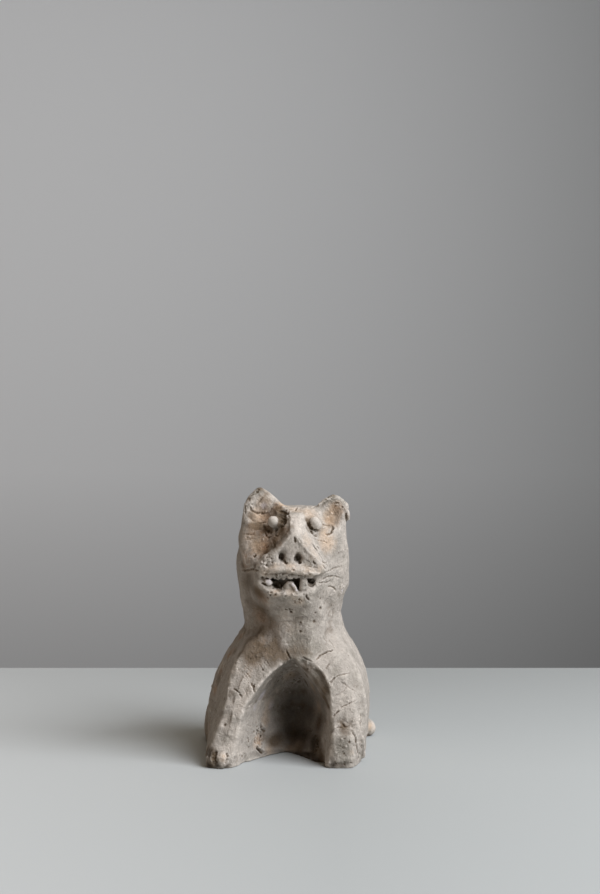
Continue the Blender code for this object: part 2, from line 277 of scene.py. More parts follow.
press_on(
    extra,
    # rims of the right and the left ear
    (rope, ball, (-22.6, -24, 125.6, 0.9), (-22.4, -23.8, 130, 1.1), (-20.4, -23.6, 133.2, 0.8),
     (-17.8, -23.4, 135.2, 1.1), (-14.6, -23.2, 137.2, 0.9)),
    (rope, ball, (10.4, -25.4, 128.4, 0.8), (12.4, -25.2, 128.8, 0.9)),
    (rope, ball, (15.4, -24.8, 130.2, 0.9), (18.4, -24.4, 132.6, 1), (22, -23.8, 134.2, 1.2),
     (25.2, -23.6, 133.6, 1)),
    (lump, ball, (29.6, -23.6, 126.6, 1.5), (29.8, -23.4, 123.6, 1.4)),
    # the corner of the muzzle, and the slab of the left paw
    (lump, pat, (-13.2, 97, 3.4, 0.9), (-12.6, 100.6, 4, 1.4), (-11.2, 103.6, 3.4, 0.7)),
    (lump, pat, (23.6, 15.4, 3, 0.9), (30, 14.6, 3, 0.9), (24, 5, 3.4, 0.9), (30, 5, 3.4, 0.9)),
    # toes, and the scrap on the jowl
    (lump, pat, (-33.4, 4.6, 3.2, 1.2), (-33, 2.6, 3, 1.2)),
    (lump, pat, (-38.6, 3.2, 2.2, 0.8)),
    (lump, pat, (36, 15, 1.8, 0.7), (36.4, 6, 1.8, 0.8)),
    (lump, pat, (26.2, 90.4, 1.4, 0.7), (25.4, 87.4, 1.3, 0.7)))
for x, z, radius in ((-15.8, 40.4, 1), (-4, 51.2, 0.9), (4, 51, 1.1), (9.4, 52.2, 1.2), (12.6, 50, 1),
                     (23.4, 19.4, 1.2), (30.8, 19.2, 1.3), (-3, 129.6, 1.3)):
    press_on(extra, (lump, pat, (x, z, radius, CRUMB_OUT * radius)))
print("with rims and toes:", len(extra.verts), "corners")

# %% [markdown]
# Now all lumps become one skin. The grain is finer than a pixel of the photograph,
# so that the cuts made later have clay to move.

# %% One skin
FINE_GRAIN = 0.42 * MM
FINE_STROKES = 3

extra.from_mesh(cat.data)
old = cat
cat = new_piece("tile_cat_clay", extra)
bpy.data.objects.remove(old)
knead(cat, FINE_GRAIN, FINE_STROKES)
cat.name = "tile_cat_clay"
print("one skin:", len(cat.data.vertices), "corners")

# %% [markdown]
# Marks that repeat are made by Geometry Nodes, and one small function adds every node. All
# trees begin and end alike: each corner of the clay moves along its own normal, keeps the most
# painted earth and shade it ever held, and the result is real mesh with its finish. Strokes and
# pores also share a question: how far is the nearest point of a guide, and what does it carry?

# %% A helper for nodes, and what the trees share
def add(tree, kind, inputs=(), out=0, **settings):
    """Adds a node and gives one of its outputs, or the node itself if out is None.

    Settings are its properties. Inputs are values or other nodes' sockets, in their
    order or by name.
    """
    node = tree.nodes.new(kind)
    for name, value in settings.items():
        setattr(node, name, value)
    for name, value in inputs.items() if isinstance(inputs, dict) else enumerate(inputs):
        if isinstance(value, bpy.types.NodeSocket):
            tree.links.new(value, node.inputs[name])
        else:
            node.inputs[name].default_value = value
    return node if out is None else node.outputs[out]


def new_tree(name, sockets):
    """A Geometry Nodes tree with named inputs, and its group input."""
    tree = bpy.data.node_groups.new(name, "GeometryNodeTree")
    for label, kind in {"Clay": "Geometry", **sockets, "Finish": "Material"}.items():
        tree.interface.new_socket(label, in_out="INPUT", socket_type="NodeSocket" + kind)
    tree.interface.new_socket("Clay", in_out="OUTPUT", socket_type="NodeSocketGeometry")
    return tree, add(tree, "NodeGroupInput", out=None).outputs


def end_tree(tree, given, amount, dirt=None):
    """Moves the clay along its normals, notes the painted earth and shade, and ends in real mesh and its
    finish.
    """
    normal = add(tree, "GeometryNodeInputNormal")
    move = add(tree, "ShaderNodeVectorMath", {0: normal, "Scale": amount}, operation="SCALE")
    clay = add(tree, "GeometryNodeSetPosition", {"Geometry": given["Clay"], "Offset": move})
    if dirt is not None:
        before = add(tree, "GeometryNodeInputNamedAttribute", {"Name": "scored"})
        most = add(tree, "ShaderNodeMath", [dirt, before], operation="MAXIMUM")
        clay = add(tree, "GeometryNodeStoreNamedAttribute",
                   {"Geometry": clay, "Name": "scored", "Value": most})
    real = add(tree, "GeometryNodeRealizeInstances", [clay])
    made = add(tree, "GeometryNodeSetMaterial", {"Geometry": real, "Material": given["Finish"]})
    add(tree, "NodeGroupOutput", [made], out=None)
    print(tree.name, "has", len(tree.nodes), "nodes")


def nearest_point(tree, points, *labels):
    """How far the nearest of the points is from each corner, and the numbers it carries."""
    here = add(tree, "GeometryNodeInputPosition")
    index = add(tree, "GeometryNodeSampleNearest", {"Geometry": points, "Sample Position": here})
    there = add(tree, "GeometryNodeSampleIndex", {"Geometry": points, "Value": here, "Index": index},
                data_type="FLOAT_VECTOR")
    found = [add(tree, "ShaderNodeVectorMath", [here, there], out="Value", operation="DISTANCE")]
    for label in labels:
        value = add(tree, "GeometryNodeInputNamedAttribute", {"Name": label})
        found.append(add(tree, "GeometryNodeSampleIndex",
                         {"Geometry": points, "Value": value, "Index": index}))
    return found


def work(piece, name, **values):
    """Runs the tree of that name with its inputs set by identifier, and keeps the result."""
    modifier = piece.modifiers.new(name, "NODES")
    modifier.node_group = bpy.data.node_groups[name]
    for item in modifier.node_group.interface.items_tree:
        label = item.name.lower().replace(" ", "_")
        if item.in_out == "INPUT" and label in values:
            modifier[item.identifier] = values[label]
    settle(piece)


# %% [markdown]
# Every stroke follows a path, so one tree makes them all. A guide is a chain of points that
# carry a half width and a depth. The clay goes in under the tool, and a little out beside
# it, where it is pushed up. A mark is painted dark with earth and shade, more so a deep one.

# %% The tree for strokes
LIP_AT = 1.9
LIP_STEEPNESS = 2.5

tree, given = new_tree("strokes", {"Guide": "Object", "Lip": "Float", "Dirt": "Float", "Full Depth": "Float"})
guide_points = add(tree, "GeometryNodeObjectInfo", {"Object": given["Guide"]}, out="Geometry")
distance, half_width, depth = nearest_point(tree, guide_points, "half_width", "depth")
ratio = add(tree, "ShaderNodeMath", [distance, half_width], operation="DIVIDE")
# two bell curves across the stroke, for the groove in its middle and for the lip beside it
bells = []
for middle, steepness in ((0, 1), (LIP_AT, LIP_STEEPNESS)):
    bell = ratio
    for operation, value in (("SUBTRACT", middle), ("POWER", 2), ("MULTIPLY", -steepness), ("EXPONENT", 0)):
        bell = add(tree, "ShaderNodeMath", [bell, value], operation=operation)
    bells.append(bell)
groove, raised = bells
raised = add(tree, "ShaderNodeMath", [raised, given["Lip"]], operation="MULTIPLY")
profile = add(tree, "ShaderNodeMath", [raised, groove], operation="SUBTRACT")
amount = add(tree, "ShaderNodeMath", [profile, depth], operation="MULTIPLY")
deep = add(tree, "ShaderNodeMapRange", [depth, 0, given["Full Depth"]])
# the groove is painted dark with earth and shade, more so where it is deep
dirt = add(tree, "ShaderNodeMath", [groove, given["Dirt"]], operation="MULTIPLY")
dirt = add(tree, "ShaderNodeMath", [dirt, deep], operation="MULTIPLY")
end_tree(tree, given, amount, dirt)

# %% [markdown]
# A stroke is written as half width, depth and the corners of its path, all in millimetres
# of the tracing. A smooth line runs through the corners. The tool bites in slowly and
# lifts slowly, so a stroke is shallow and narrow at both ends. Dry clay crumbles under it,
# so no stroke is quite straight or equally wide and deep.

# %% Strokes
STEP = 0.25
WOBBLE = 0.35
WOBBLE_SCALE = 0.7
CRUMBLE_SCALE = 0.9
BITE = 0.25
FIRST_BITE = 0.15
END_WIDTH = 0.7
SWELL = 0.3
FULL_DEPTH = 0.8 * MM
UNEVEN = 0.5


def smooth_line(corners, step):
    """Points a step apart on a smooth line through the corners."""
    ends = [corners[0], *corners, corners[-1]]
    line = []
    for a, b, c, d in zip(ends, ends[1:], ends[2:], ends[3:]):
        a, b, c, d = (Vector(corner) for corner in (a, b, c, d))
        count = max(1, round((c - b).length / step))
        for index in range(count):
            t = index / count
            line.append(0.5 * (2 * b + (c - a) * t + (2 * a - 5 * b + 4 * c - d) * t ** 2
                               + (3 * b - a - 3 * c + d) * t ** 3))
    return line + [Vector(corners[-1])]


def stroke(piece, tracing, strokes, lip=0.0, dirt=0.0, wobble=WOBBLE):
    """Works a list of strokes into the clay, all at once."""
    points, widths, depths = [], [], []
    for half_width, depth, *corners in strokes:
        line = smooth_line(corners, STEP) if len(corners) > 1 else [Vector(corners[0])]
        for index, spot in enumerate(line):
            share = index / max(1, len(line) - 1)
            bite = min(1, min(share, 1 - share) / BITE + FIRST_BITE) if len(line) > 1 else 1
            shake = noise.noise_vector(Vector((spot.x, spot.y, half_width)) * WOBBLE_SCALE) * wobble
            crumble = 0
            if wobble:
                crumble = noise.noise(Vector((spot.x, spot.y, depth)) * CRUMBLE_SCALE / half_width)
            touched = tracing.touch(spot.x + shake.x, spot.y + shake.y)
            if touched:
                points.append(touched[0])
                widths.append(half_width * (END_WIDTH + SWELL * bite) * (1 + UNEVEN * crumble) * MM)
                depths.append(depth * bite * (1 + UNEVEN * crumble) * MM)
    mesh = bpy.data.meshes.new("guide")
    mesh.from_pydata(points, [], [])
    for label, values in (("half_width", widths), ("depth", depths)):
        mesh.attributes.new(label, "FLOAT", "POINT").data.foreach_set("value", values)
    guide = bpy.data.objects.new("guide", mesh)
    bpy.context.scene.collection.objects.link(guide)
    work(piece, "strokes", guide=guide, lip=lip, dirt=dirt, full_depth=FULL_DEPTH)
    bpy.data.objects.remove(guide)
    return len(points)


# %% [markdown]
# First come the broad strokes of fingers and thumb. They leave shallow hollows with soft
# ridges between them, which is what makes the legs and cheeks look faceted. A stroke with a
# negative depth pushes clay up.

# %% Finger strokes on the front
front = Tracing(cat)
finger_strokes = [
    # the right foreleg, its outer and its inner flat, and the shoulder above
    (3.8, 0.8, (-24, 54), (-27.5, 42), (-31.5, 27), (-34.5, 12)),
    (3, 0.5, (-12, 54.5), (-19, 45), (-24.5, 33), (-26.6, 18), (-29.5, 6)),
    (4.8, 0.9, (-20, 62), (-12, 60.5), (-6, 58.5), (-3.6, 56)),
    (4.6, 0.6, (-32, 52), (-37, 38), (-40.5, 22)),
    # the left foreleg, across and down
    (3.6, 0.6, (15, 58.5), (22, 50.5), (31, 53)),
    (3.4, 0.6, (23, 38), (28, 40.5), (35, 41)),
    (2, 0.7, (21.6, 21.4), (25, 22.6), (30, 21.4), (33.6, 18)),
    (3.2, 0.5, (36, 36), (37.6, 26), (37, 15)),
    # bib and neck
    (5, 0.6, (2, 76), (3.6, 66), (5.2, 58)),
    (4.8, 0.7, (19, 83), (20, 72), (17, 63)),
    # the hollow of the right ear
    (2, 0.3, (-15.6, 136.2), (-13.6, 133.6), (-12, 130)),
    # cheeks, and the valley between the right one and the nose
    (4.6, 0.5, (-18, 118), (-17, 111), (-16, 105)),
    (5, 0.5, (21, 114), (24, 106), (25, 97)),
    (2.4, 0.9, (-3.4, 121), (-4.4, 116.5), (-7.6, 111.6), (-11.6, 107.6), (-16, 103.6)),
    # the pit between the right eye and the bridge
    (2, 1.6, (-3.4, 128.8), (-2.8, 124.8), (-3.2, 120)),
]
ridges = [
    # in the right ear, in the fold of the neck, on the upper lip and the chin
    (3.6, -1.2, (-14, 133.4), (-11.4, 131.4), (-8.6, 128.8)),
    (3.4, -0.5, (-14.6, 84), (-14.2, 77), (-12.6, 70)),
    (1.6, -0.9, (-12, 98.2), (-5, 98.9), (3, 98.4), (10, 97.6), (16, 96.8)),
    (2.6, -0.5, (-6, 84.6), (2, 83.6), (9, 84.4)),
    # the edge of the hollow, left and right
    (1.2, -0.3, (-7.6, 49.4), (-13, 44), (-20, 35.4)),
    (0.9, -0.4, (13.6, 50.2), (17.8, 46), (20.6, 38.4), (21.2, 30.6), (21, 22)),
    # the corner of the right foreleg
    (1.6, -0.4, (-20, 60), (-27.8, 50), (-30.2, 41), (-31, 34), (-33.4, 26), (-36.6, 18)),
    # bridge and wings of the nose
    (0.9, -0.6, (1.2, 125), (0.9, 120), (1.2, 116.6)),
    (0.8, -0.5, (0.8, 116), (-2.2, 112), (-5.4, 108.2), (-9.4, 105.4)),
    (0.8, -0.35, (3.8, 115.4), (6.6, 111.4), (10, 107.4), (13.6, 104), (16.4, 101.4)),
    # the edge of the right cheek
    (0.9, -0.4, (-25, 113.5), (-24.2, 109), (-22.4, 104.4), (-21, 101.6), (-16, 102.4)),
]
print("hollows:", stroke(cat, front, finger_strokes), "points")
print("ridges:", stroke(cat, front, ridges, wobble=0), "points")

# %% [markdown]
# The sides and the back can't be seen, so they get plain strokes from a rule: a seeded
# hand draws thumb strokes round the flanks, each a few centimetres long and leaning a little.

# %% Finger strokes on the hidden sides
FLANK_SEED = 7
THUMB_WIDTH = (3.4, 5.0)
THUMB_DEPTH = (0.2, 0.45)
HALF_LENGTH = 9
SIDEWAYS = 3
UPWARDS = 4
LEAN = 7

hand = random.Random(FLANK_SEED)
for azimuth, columns in ((90, (-12, 5, 22)), (180, (-26, -9, 8, 25)), (270, (-22, -5, 12))):
    side = Tracing(cat, azimuth)
    drawn = []
    for height in range(16, 132, 13):
        for across in columns:
            x = across + hand.uniform(-SIDEWAYS, SIDEWAYS)
            z = height + hand.uniform(-UPWARDS, UPWARDS)
            lean = hand.uniform(-LEAN, LEAN)
            drawn.append((hand.uniform(*THUMB_WIDTH), hand.uniform(*THUMB_DEPTH),
                          (x, z + HALF_LENGTH), (x + lean / 2, z), (x + lean, z - HALF_LENGTH)))
    stroke(cat, side, drawn, wobble=0)
print("after the finger strokes:", size_of(cat))

# %% [markdown]
# The clay isn't equally rough everywhere. It is torn and crumbly where it was broken away
# or pinched dry, and wiped where a wet hand went over it. A patch is a soft-edged ball of
# influence, written as tracing x, z, radius and strength, and patches add up. The rolled
# eyes and the pearl in the mouth stay smooth.

# %% Patches
def of_corners(piece, what="co"):
    """The places of the piece's corners, or their normals, as an array."""
    values = np.empty(len(piece.data.vertices) * 3, np.float32)
    piece.data.vertices.foreach_get(what, values)
    return values.reshape(-1, 3)


def patch_field(spots, tracing, patches):
    """How strongly the patches act on each spot, from 0 to 1."""
    field = np.zeros(len(spots), np.float32)
    for x, z, radius, strength in patches:
        touched = tracing.touch(x, z)
        if touched:
            away = np.linalg.norm(spots - np.array(touched[0], np.float32), axis=1) / (radius * MM)
            soft = np.clip(1 - away, 0, 1)
            field += strength * soft * soft * (3 - 2 * soft)
    return np.clip(field, 0, 1)


def note(piece, label, values):
    """Keeps one number for each corner as a named attribute."""
    attribute = piece.data.attributes.get(label) or piece.data.attributes.new(label, "FLOAT", "POINT")
    attribute.data.foreach_set("value", np.asarray(values, np.float32))


TORN = [
    # beside the eyes and on the crown
    (-3, 124.5, 6, 1), (-10, 117, 5, 0.5), (0, 130, 5, 0.5), (9, 129, 5, 0.3), (12, 116.5, 4, 0.4),
    # rims of the ears
    (-21, 131, 4, 0.8), (-16, 137.5, 4, 0.8), (-7, 132, 5, 0.6), (20, 134, 5, 0.8), (29, 132, 5, 0.7),
    (30, 125, 4, 0.8), (24, 128, 5, 0.4),
    # lips and gum
    (-12, 98, 5, 1), (-5, 95.8, 4, 1), (1, 96.4, 4, 1), (7, 95.6, 4, 1), (-10, 88, 4, 1),
    (7.8, 91.4, 3, 0.9), (-3, 86.6, 4, 0.8), (4, 86, 4, 0.6), (-9, 102, 5, 0.7), (-13, 101, 4, 0.7),
    (1, 99.4, 4, 0.6), (9, 98.6, 5, 0.6), (14, 100, 4, 0.5), (-5, 91, 4, 1),
    # chin and jowl
    (4, 82.6, 4, 0.9), (-4, 83.4, 4, 0.7), (9, 84, 3, 0.8), (26, 89, 4, 0.7), (0, 78.5, 3, 0.5),
    # top of the hollow and its walls
    (-12, 46, 5, 0.4), (-1, 50, 6, 0.6), (8, 48, 6, 0.7), (-17, 40, 5, 0.6), (2, 43, 8, 0.6),
    (-15, 16, 6, 1), (-14, 9, 5, 0.9), (-20, 12, 5, 0.5), (14, 12, 6, 0.9),
    # paws
    (-34, 4, 6, 0.8), (-40, 5, 7, 0.9), (-27, 3, 5, 0.5), (24, 4, 6, 0.5), (28, 14, 7, 0.3),
    (36, 10, 7, 0.6), (33, 22, 5, 0.5), (27, 21, 4, 0.6),
    # shoulders
    (-14, 58, 8, 0.4), (-24, 45, 8, 0.3),
]
WIPED = [(-7.9, 122, 5, 2), (13.2, 121.6, 5, 2), (-10, 92.4, 3, 1.6), (1.5, 90.5, 3, 0.8)]

front = Tracing(cat)
spots = of_corners(cat)
for label, patches in (("torn", TORN), ("wiped", WIPED)):
    field = patch_field(spots, front, patches)
    note(cat, label, field)
    print(label, "on", round(100 * float((field > 0).mean())), "% of the corners")

# %% [markdown]
# A second tree gives the skin its relief: wide soft lumps everywhere, a fine grain over
# them, and a jagged relief in the torn patches. Its noise is read at the clay's own place,
# in metres, so a scale is one over the width of a lump.

# %% The worked skin
SKIN_SEED = 3.0
SKIN_ROUGHNESS = 0.55

tree, given = new_tree("worked_skin", {
    "Lump Width": "Float", "Lump Height": "Float", "Grain Width": "Float", "Grain Height": "Float",
    "Torn Width": "Float", "Torn Height": "Float", "Seed": "Float"})
place = add(tree, "GeometryNodeInputPosition")
heights = []
for label, detail in (("Lump", 2), ("Grain", 2), ("Torn", 3)):
    scale = add(tree, "ShaderNodeMath", [1, given[label + " Width"]], operation="DIVIDE")
    wave = add(tree, "ShaderNodeTexNoise",
               {"Vector": place, "W": given["Seed"], "Scale": scale, "Detail": detail,
                "Roughness": SKIN_ROUGHNESS}, noise_dimensions="4D")
    level = add(tree, "ShaderNodeMath", [wave, 0.5], operation="SUBTRACT")
    heights.append(add(tree, "ShaderNodeMath", [level, given[label + " Height"]], operation="MULTIPLY"))
torn, wiped = (add(tree, "GeometryNodeInputNamedAttribute", {"Name": label}) for label in ("torn", "wiped"))
jagged = add(tree, "ShaderNodeMath", [heights[2], torn], operation="MULTIPLY")
total = add(tree, "ShaderNodeMath", heights[:2], operation="ADD")
total = add(tree, "ShaderNodeMath", [total, jagged], operation="ADD")
rough = add(tree, "ShaderNodeMath", [1, wiped], operation="SUBTRACT")
total = add(tree, "ShaderNodeMath", [total, rough], operation="MULTIPLY")
end_tree(tree, given, total)

work(cat, "worked_skin", lump_width=11 * MM, lump_height=1.1 * MM, grain_width=2.6 * MM,
     grain_height=0.45 * MM, torn_width=2.2 * MM, torn_height=2.2 * MM, seed=SKIN_SEED)
print("relief:", size_of(cat))

# %% [markdown]
# Pores and crumbs repeat hundreds of times. The third tree scatters points on the skin,
# no closer than a spacing, gives each its own radius, and lets every corner within that
# radius sink or rise. Pores go in, and crumbs are the same thing with a negative depth.

# %% Pores and crumbs
DENSEST = 4e5
CRUMB_SEED = 5
PORE_SEED = 8

tree, given = new_tree("pores", {
    "Spacing": "Float", "Smallest": "Float", "Largest": "Float", "Depth": "Float", "Evenly": "Float",
    "Dirt": "Float", "Seed": "Int"})
torn, wiped = (add(tree, "GeometryNodeInputNamedAttribute", {"Name": label}) for label in ("torn", "wiped"))
where = add(tree, "ShaderNodeMath", [torn, given["Evenly"]], operation="ADD")
where = add(tree, "ShaderNodeMath", [where, wiped], operation="SUBTRACT", use_clamp=True)
scattered = add(tree, "GeometryNodeDistributePointsOnFaces",
                {"Mesh": given["Clay"], "Distance Min": given["Spacing"], "Density Max": DENSEST,
                 "Density Factor": where, "Seed": given["Seed"]}, distribute_method="POISSON")
size = add(tree, "FunctionNodeRandomValue",
           {2: given["Smallest"], 3: given["Largest"], "Seed": given["Seed"]}, out=1)
scattered = add(tree, "GeometryNodeStoreNamedAttribute",
                {"Geometry": scattered, "Name": "radius", "Value": size})
distance, radius = nearest_point(tree, scattered, "radius")
inside = add(tree, "ShaderNodeMapRange", [distance, radius, 0], interpolation_type="SMOOTHSTEP")
deep = inside
for value in (given["Depth"], -1, radius):
    deep = add(tree, "ShaderNodeMath", [deep, value], operation="MULTIPLY")
# a pore is painted dark with earth and shade
dirt = add(tree, "ShaderNodeMath", [inside, given["Dirt"]], operation="MULTIPLY")
end_tree(tree, given, deep, dirt)

work(cat, "pores", spacing=2.2 * MM, smallest=0.4 * MM, largest=1.1 * MM, depth=-0.5, evenly=0.04,
     dirt=0.0, seed=CRUMB_SEED)
work(cat, "pores", spacing=3.4 * MM, smallest=0.35 * MM, largest=0.85 * MM, depth=0.9, evenly=0.06,
     dirt=0.6, seed=PORE_SEED)
print("pores and crumbs:", len(cat.data.vertices), "corners")

# %% [markdown]
# Last come the narrow marks: cuts of a stick, drying cracks and holes, painted dark with
# earth and shade. Each was read off the photograph onto the tracing, one after the other.

# %% Cuts and cracks in the face
front = Tracing(cat)
face_cuts = [
    # beside and under the right eye
    (0.55, 1.1, (-4.4, 119.2), (-2.6, 120.8), (-1, 122.6)),
    (0.5, 0.8, (-5.4, 127.8), (-3, 127.4), (-0.8, 126.2), (0.2, 124.6)),
    (0.45, 0.7, (-5.2, 125.4), (-3, 124.2), (-1.6, 122.9)),
    (0.8, 1.3, (-13, 121.4), (-12, 119.4), (-10.2, 117.8), (-8.6, 117.6)),
    (0.6, 1.1, (-7.6, 116.9), (-6.6, 118), (-5.6, 119.2)),
    (0.45, 0.7, (-12.2, 117.6), (-11.4, 115.6), (-10.2, 114.7), (-8.8, 115.4)),
    (0.4, 0.6, (-7.2, 116), (-5.8, 115.6), (-4.8, 116.3)),
    # creases of the right ear, its rim, and the wrinkles of the cheek
    (0.5, 0.6, (-19.6, 130.6), (-18.8, 128.6), (-17, 127.2), (-14, 126.8), (-11.4, 127)),
    (0.55, 0.5, (-20.4, 125.6), (-18.6, 123.9), (-16.4, 122.7)),
    (0.45, 0.5, (-15.6, 121.8), (-13.2, 122.2), (-11.6, 122.4)),
    (0.45, 0.5, (-22, 131.4), (-21.9, 128.6), (-21.8, 126.2)),
    (0.5, 0.6, (-20.1, 134.6), (-19.6, 132.6)),
    (0.4, 0.5, (-19.4, 135), (-17, 136.8), (-14.6, 138.6)),
    (0.4, 0.35, (-23.4, 116.6), (-20, 116.3), (-17, 116.4)),
    (0.35, 0.3, (-22, 113.8), (-19.6, 114), (-17, 114.5)),
    # the left ear
    (0.8, 0.5, (17.6, 133.8), (20, 135), (23.6, 134.8)),
    (0.45, 0.5, (22.6, 131.9), (25, 132.2)),
    (0.45, 0.5, (28.7, 127.6), (28.5, 125), (28.6, 122.4)),
    (0.4, 0.5, (11.6, 129.7), (14, 130.6)),
    # the nose
    (0.45, 0.9, (2.8, 115), (2.9, 113.4), (3.2, 112)),
    (0.35, 0.35, (4.6, 114.6), (5.6, 113), (6.5, 111.4)),
    (0.35, 0.3, (8, 104.1), (9.2, 103.1), (10.6, 102.4)),
    (0.5, 0.9, (11.7, 103.1), (12.4, 102.1), (13.2, 101.3)),
    (0.35, 0.3, (8.8, 100.6), (12, 99.8), (15.2, 99.2)),
    (0.5, 1, (-2.4, 103.2), (-1.6, 102), (-0.6, 101.6)),
    (0.55, 1.1, (5.2, 103), (5.5, 101.5)),
    # under the left eye and down the left cheek
    (0.75, 1.3, (9.2, 122.6), (9.9, 120.8), (11.4, 119.2), (13.4, 118.3), (15.2, 118.1)),
    (0.6, 1.2, (10.6, 118.1), (12, 116.4), (14.2, 115.3)),
    (0.35, 0.35, (11.6, 114.9), (14.2, 113.6), (17, 113), (20, 111.6)),
    (0.55, 1, (14.1, 110.3), (15.4, 109.1)),
    (0.4, 0.5, (16.9, 121.2), (19.4, 120.8), (20.8, 120.9)),
    (0.45, 1.2, (21.2, 121.4), (21.9, 119.8), (21.5, 118), (20.4, 116.6), (18, 116.2)),
    (0.45, 1.1, (11.6, 111.9), (14, 108.4), (15.8, 105.4), (17.8, 102.4), (19.4, 100.2)),
    (0.35, 0.4, (14.8, 107.8), (16.6, 104.6), (18.6, 101.6)),
    (0.45, 0.8, (16.4, 103.4), (18.8, 101)),
    (0.4, 0.6, (16.8, 101), (18.8, 99)),
    # whiskers, and the split in the jowl
    (0.5, 1, (-18.2, 105.1), (-17.2, 105.4), (-16.1, 106.1)),
    (0.35, 0.5, (-11.6, 109.6), (-9.8, 110.8)),
    (0.5, 0.8, (-23.6, 98.4), (-20.8, 98.3), (-18, 98.9), (-16, 98.4), (-15, 97.4)),
    (0.4, 0.45, (16.4, 96), (19.6, 98), (23, 99.5), (26.6, 100.4)),
    (0.4, 0.5, (15.4, 93.3), (19, 94.8), (22.2, 95.5), (26.6, 94.2)),
    (0.4, 0.5, (14.4, 92), (17.2, 92.3), (19.4, 92)),
    (0.35, 0.6, (18.6, 91.9), (20.6, 93.1)),
    (0.4, 0.7, (19.4, 90.4), (22, 89.8), (23.8, 88)),
    (0.45, 1, (27.4, 91.6), (27, 88.6), (25.8, 85.4)),
    # crown, lips and chin
    (0.4, 0.8, (3.9, 129.8), (3.2, 127.8)),
    (0.35, 0.4, (-0.6, 129), (1.6, 128.7)),
    (0.5, 1, (-13.7, 92.4), (-12.6, 91.5), (-11.4, 90.9)),
    (0.4, 0.8, (8.7, 86.4), (8.9, 84.8), (10, 83.1)),
    (0.4, 0.7, (-2.2, 78.8), (-0.4, 78.4)),
]
print("cuts in the face:", stroke(cat, front, face_cuts, lip=0.12, dirt=1.0), "points")

# %% Cuts and cracks in the body
body_cuts = [
    # the bib's edges
    (0.4, 0.9, (-1.6, 58.8), (-0.8, 56.6), (0.4, 54.6), (2, 53.2)),
    (0.35, 0.7, (6.8, 55.1), (8.6, 54), (10, 53.2), (11.6, 52.6)),
    # drying cracks across the left foreleg
    (0.45, 0.9, (13.6, 53.4), (16, 55.9), (19.2, 57.7), (22.8, 58.8)),
    (0.4, 0.8, (20.6, 41.4), (21.6, 43.4), (23.6, 45.2)),
    (0.3, 0.45, (23, 44.9), (26.6, 46.4), (30.6, 47.2)),
    (0.45, 0.9, (22, 24.8), (23.4, 26.8), (25, 28.2)),
    (0.3, 0.5, (25.2, 29.4), (28.6, 31), (33.8, 33.6)),
    (0.5, 0.4, (18.2, 49), (19.2, 50.6), (20.4, 51.8)),
    (0.3, 0.3, (25.4, 43.2), (29, 40.6), (33.4, 37.8)),
    (0.3, 0.3, (22.4, 35.6), (26.6, 37.6), (29.6, 41.4)),
    (0.3, 0.3, (31, 60), (33, 54), (34.4, 47.6)),
    # the right foreleg
    (0.35, 0.6, (-28.4, 39), (-26.6, 38.3), (-24.8, 36.7), (-23.5, 34.4)),
    (0.45, 0.3, (-29.8, 39), (-30, 34.4)),
    (0.5, 0.9, (-19, 42), (-18.2, 40), (-17.2, 37)),
    # gouges on the right wall of the hollow
    (0.9, 1.9, (-13.8, 21.6), (-13.2, 19.2), (-11.6, 17.6)),
    (0.8, 1.7, (-16.2, 10.2), (-15, 8.4), (-13, 7)),
    (0.45, 0.6, (-20.6, 14.8), (-19.8, 12.2)),
    # round the toe of the right paw
    (0.9, 1.1, (-36.9, 8.4), (-37.3, 4.4), (-36.8, 1.2)),
    (0.6, 1.1, (-31.2, 7.2), (-30.8, 4), (-31.6, 1.2)),
    # the left paw
    (0.6, 1.2, (26.4, 21.6), (27.6, 20.4), (29.6, 20.1)),
    (0.55, 0.9, (31, 18.6), (33, 15.4), (33.8, 11), (34.6, 7)),
    (0.4, 0.5, (22.2, 18.8), (24.6, 19.9), (26.6, 19.7)),
    (0.35, 0.4, (35.6, 27), (36, 22), (35.2, 17.6)),
]
print("cuts in the body:", stroke(cat, front, body_cuts, lip=0.12, dirt=1.0), "points")

# %% [markdown]
# Hatching is a row of quick parallel scratches. Where dry clay crumbled away it left a
# cluster of short gouges, and a few single holes were made with a stick.

# %% Hatching, crumbled spots and holes
SCRATCH_SEED = 19
SCRATCH_WIDTH = (0.25, 0.38)
SCRATCH_DEPTH = (0.08, 0.28)
GOUGE_WIDTH = (0.3, 0.6)
GOUGE_REACH = 1.3

hand = random.Random(SCRATCH_SEED)
hatching = []
# rows of scratches: where they start, the step from one to the next, and the scratch itself
for x, z, step_x, step_z, run_x, run_z, count in (
        (-19, 63.5, 1.2, 0.1, 4, -6, 7), (-26.5, 49.5, 1.3, -0.2, 4.5, -5, 5),
        (-15.5, 53, 1.3, 0.4, 3.5, -4.5, 4), (-22, 26, 0.4, -2.2, 4, -1, 4),
        (17, 66, 1.6, -0.6, 3, -5, 4), (23, 112, 1.2, -0.8, 2, -5, 4), (-38, 34, -0.4, -3, 3, -4, 5)):
    for index in range(count):
        start = Vector((x + step_x * index + hand.uniform(-0.8, 0.8),
                        z + step_z * index + hand.uniform(-1.2, 1.2)))
        run = Vector((run_x, run_z)) * hand.uniform(0.5, 1.2)
        bend = Vector((hand.uniform(-0.6, 0.6), hand.uniform(-0.6, 0.6)))
        hatching.append((hand.uniform(*SCRATCH_WIDTH), hand.uniform(*SCRATCH_DEPTH),
                         start, start + run / 2 + bend, start + run))
print("hatching:", stroke(cat, front, hatching, lip=0.2, dirt=0.7), "points")

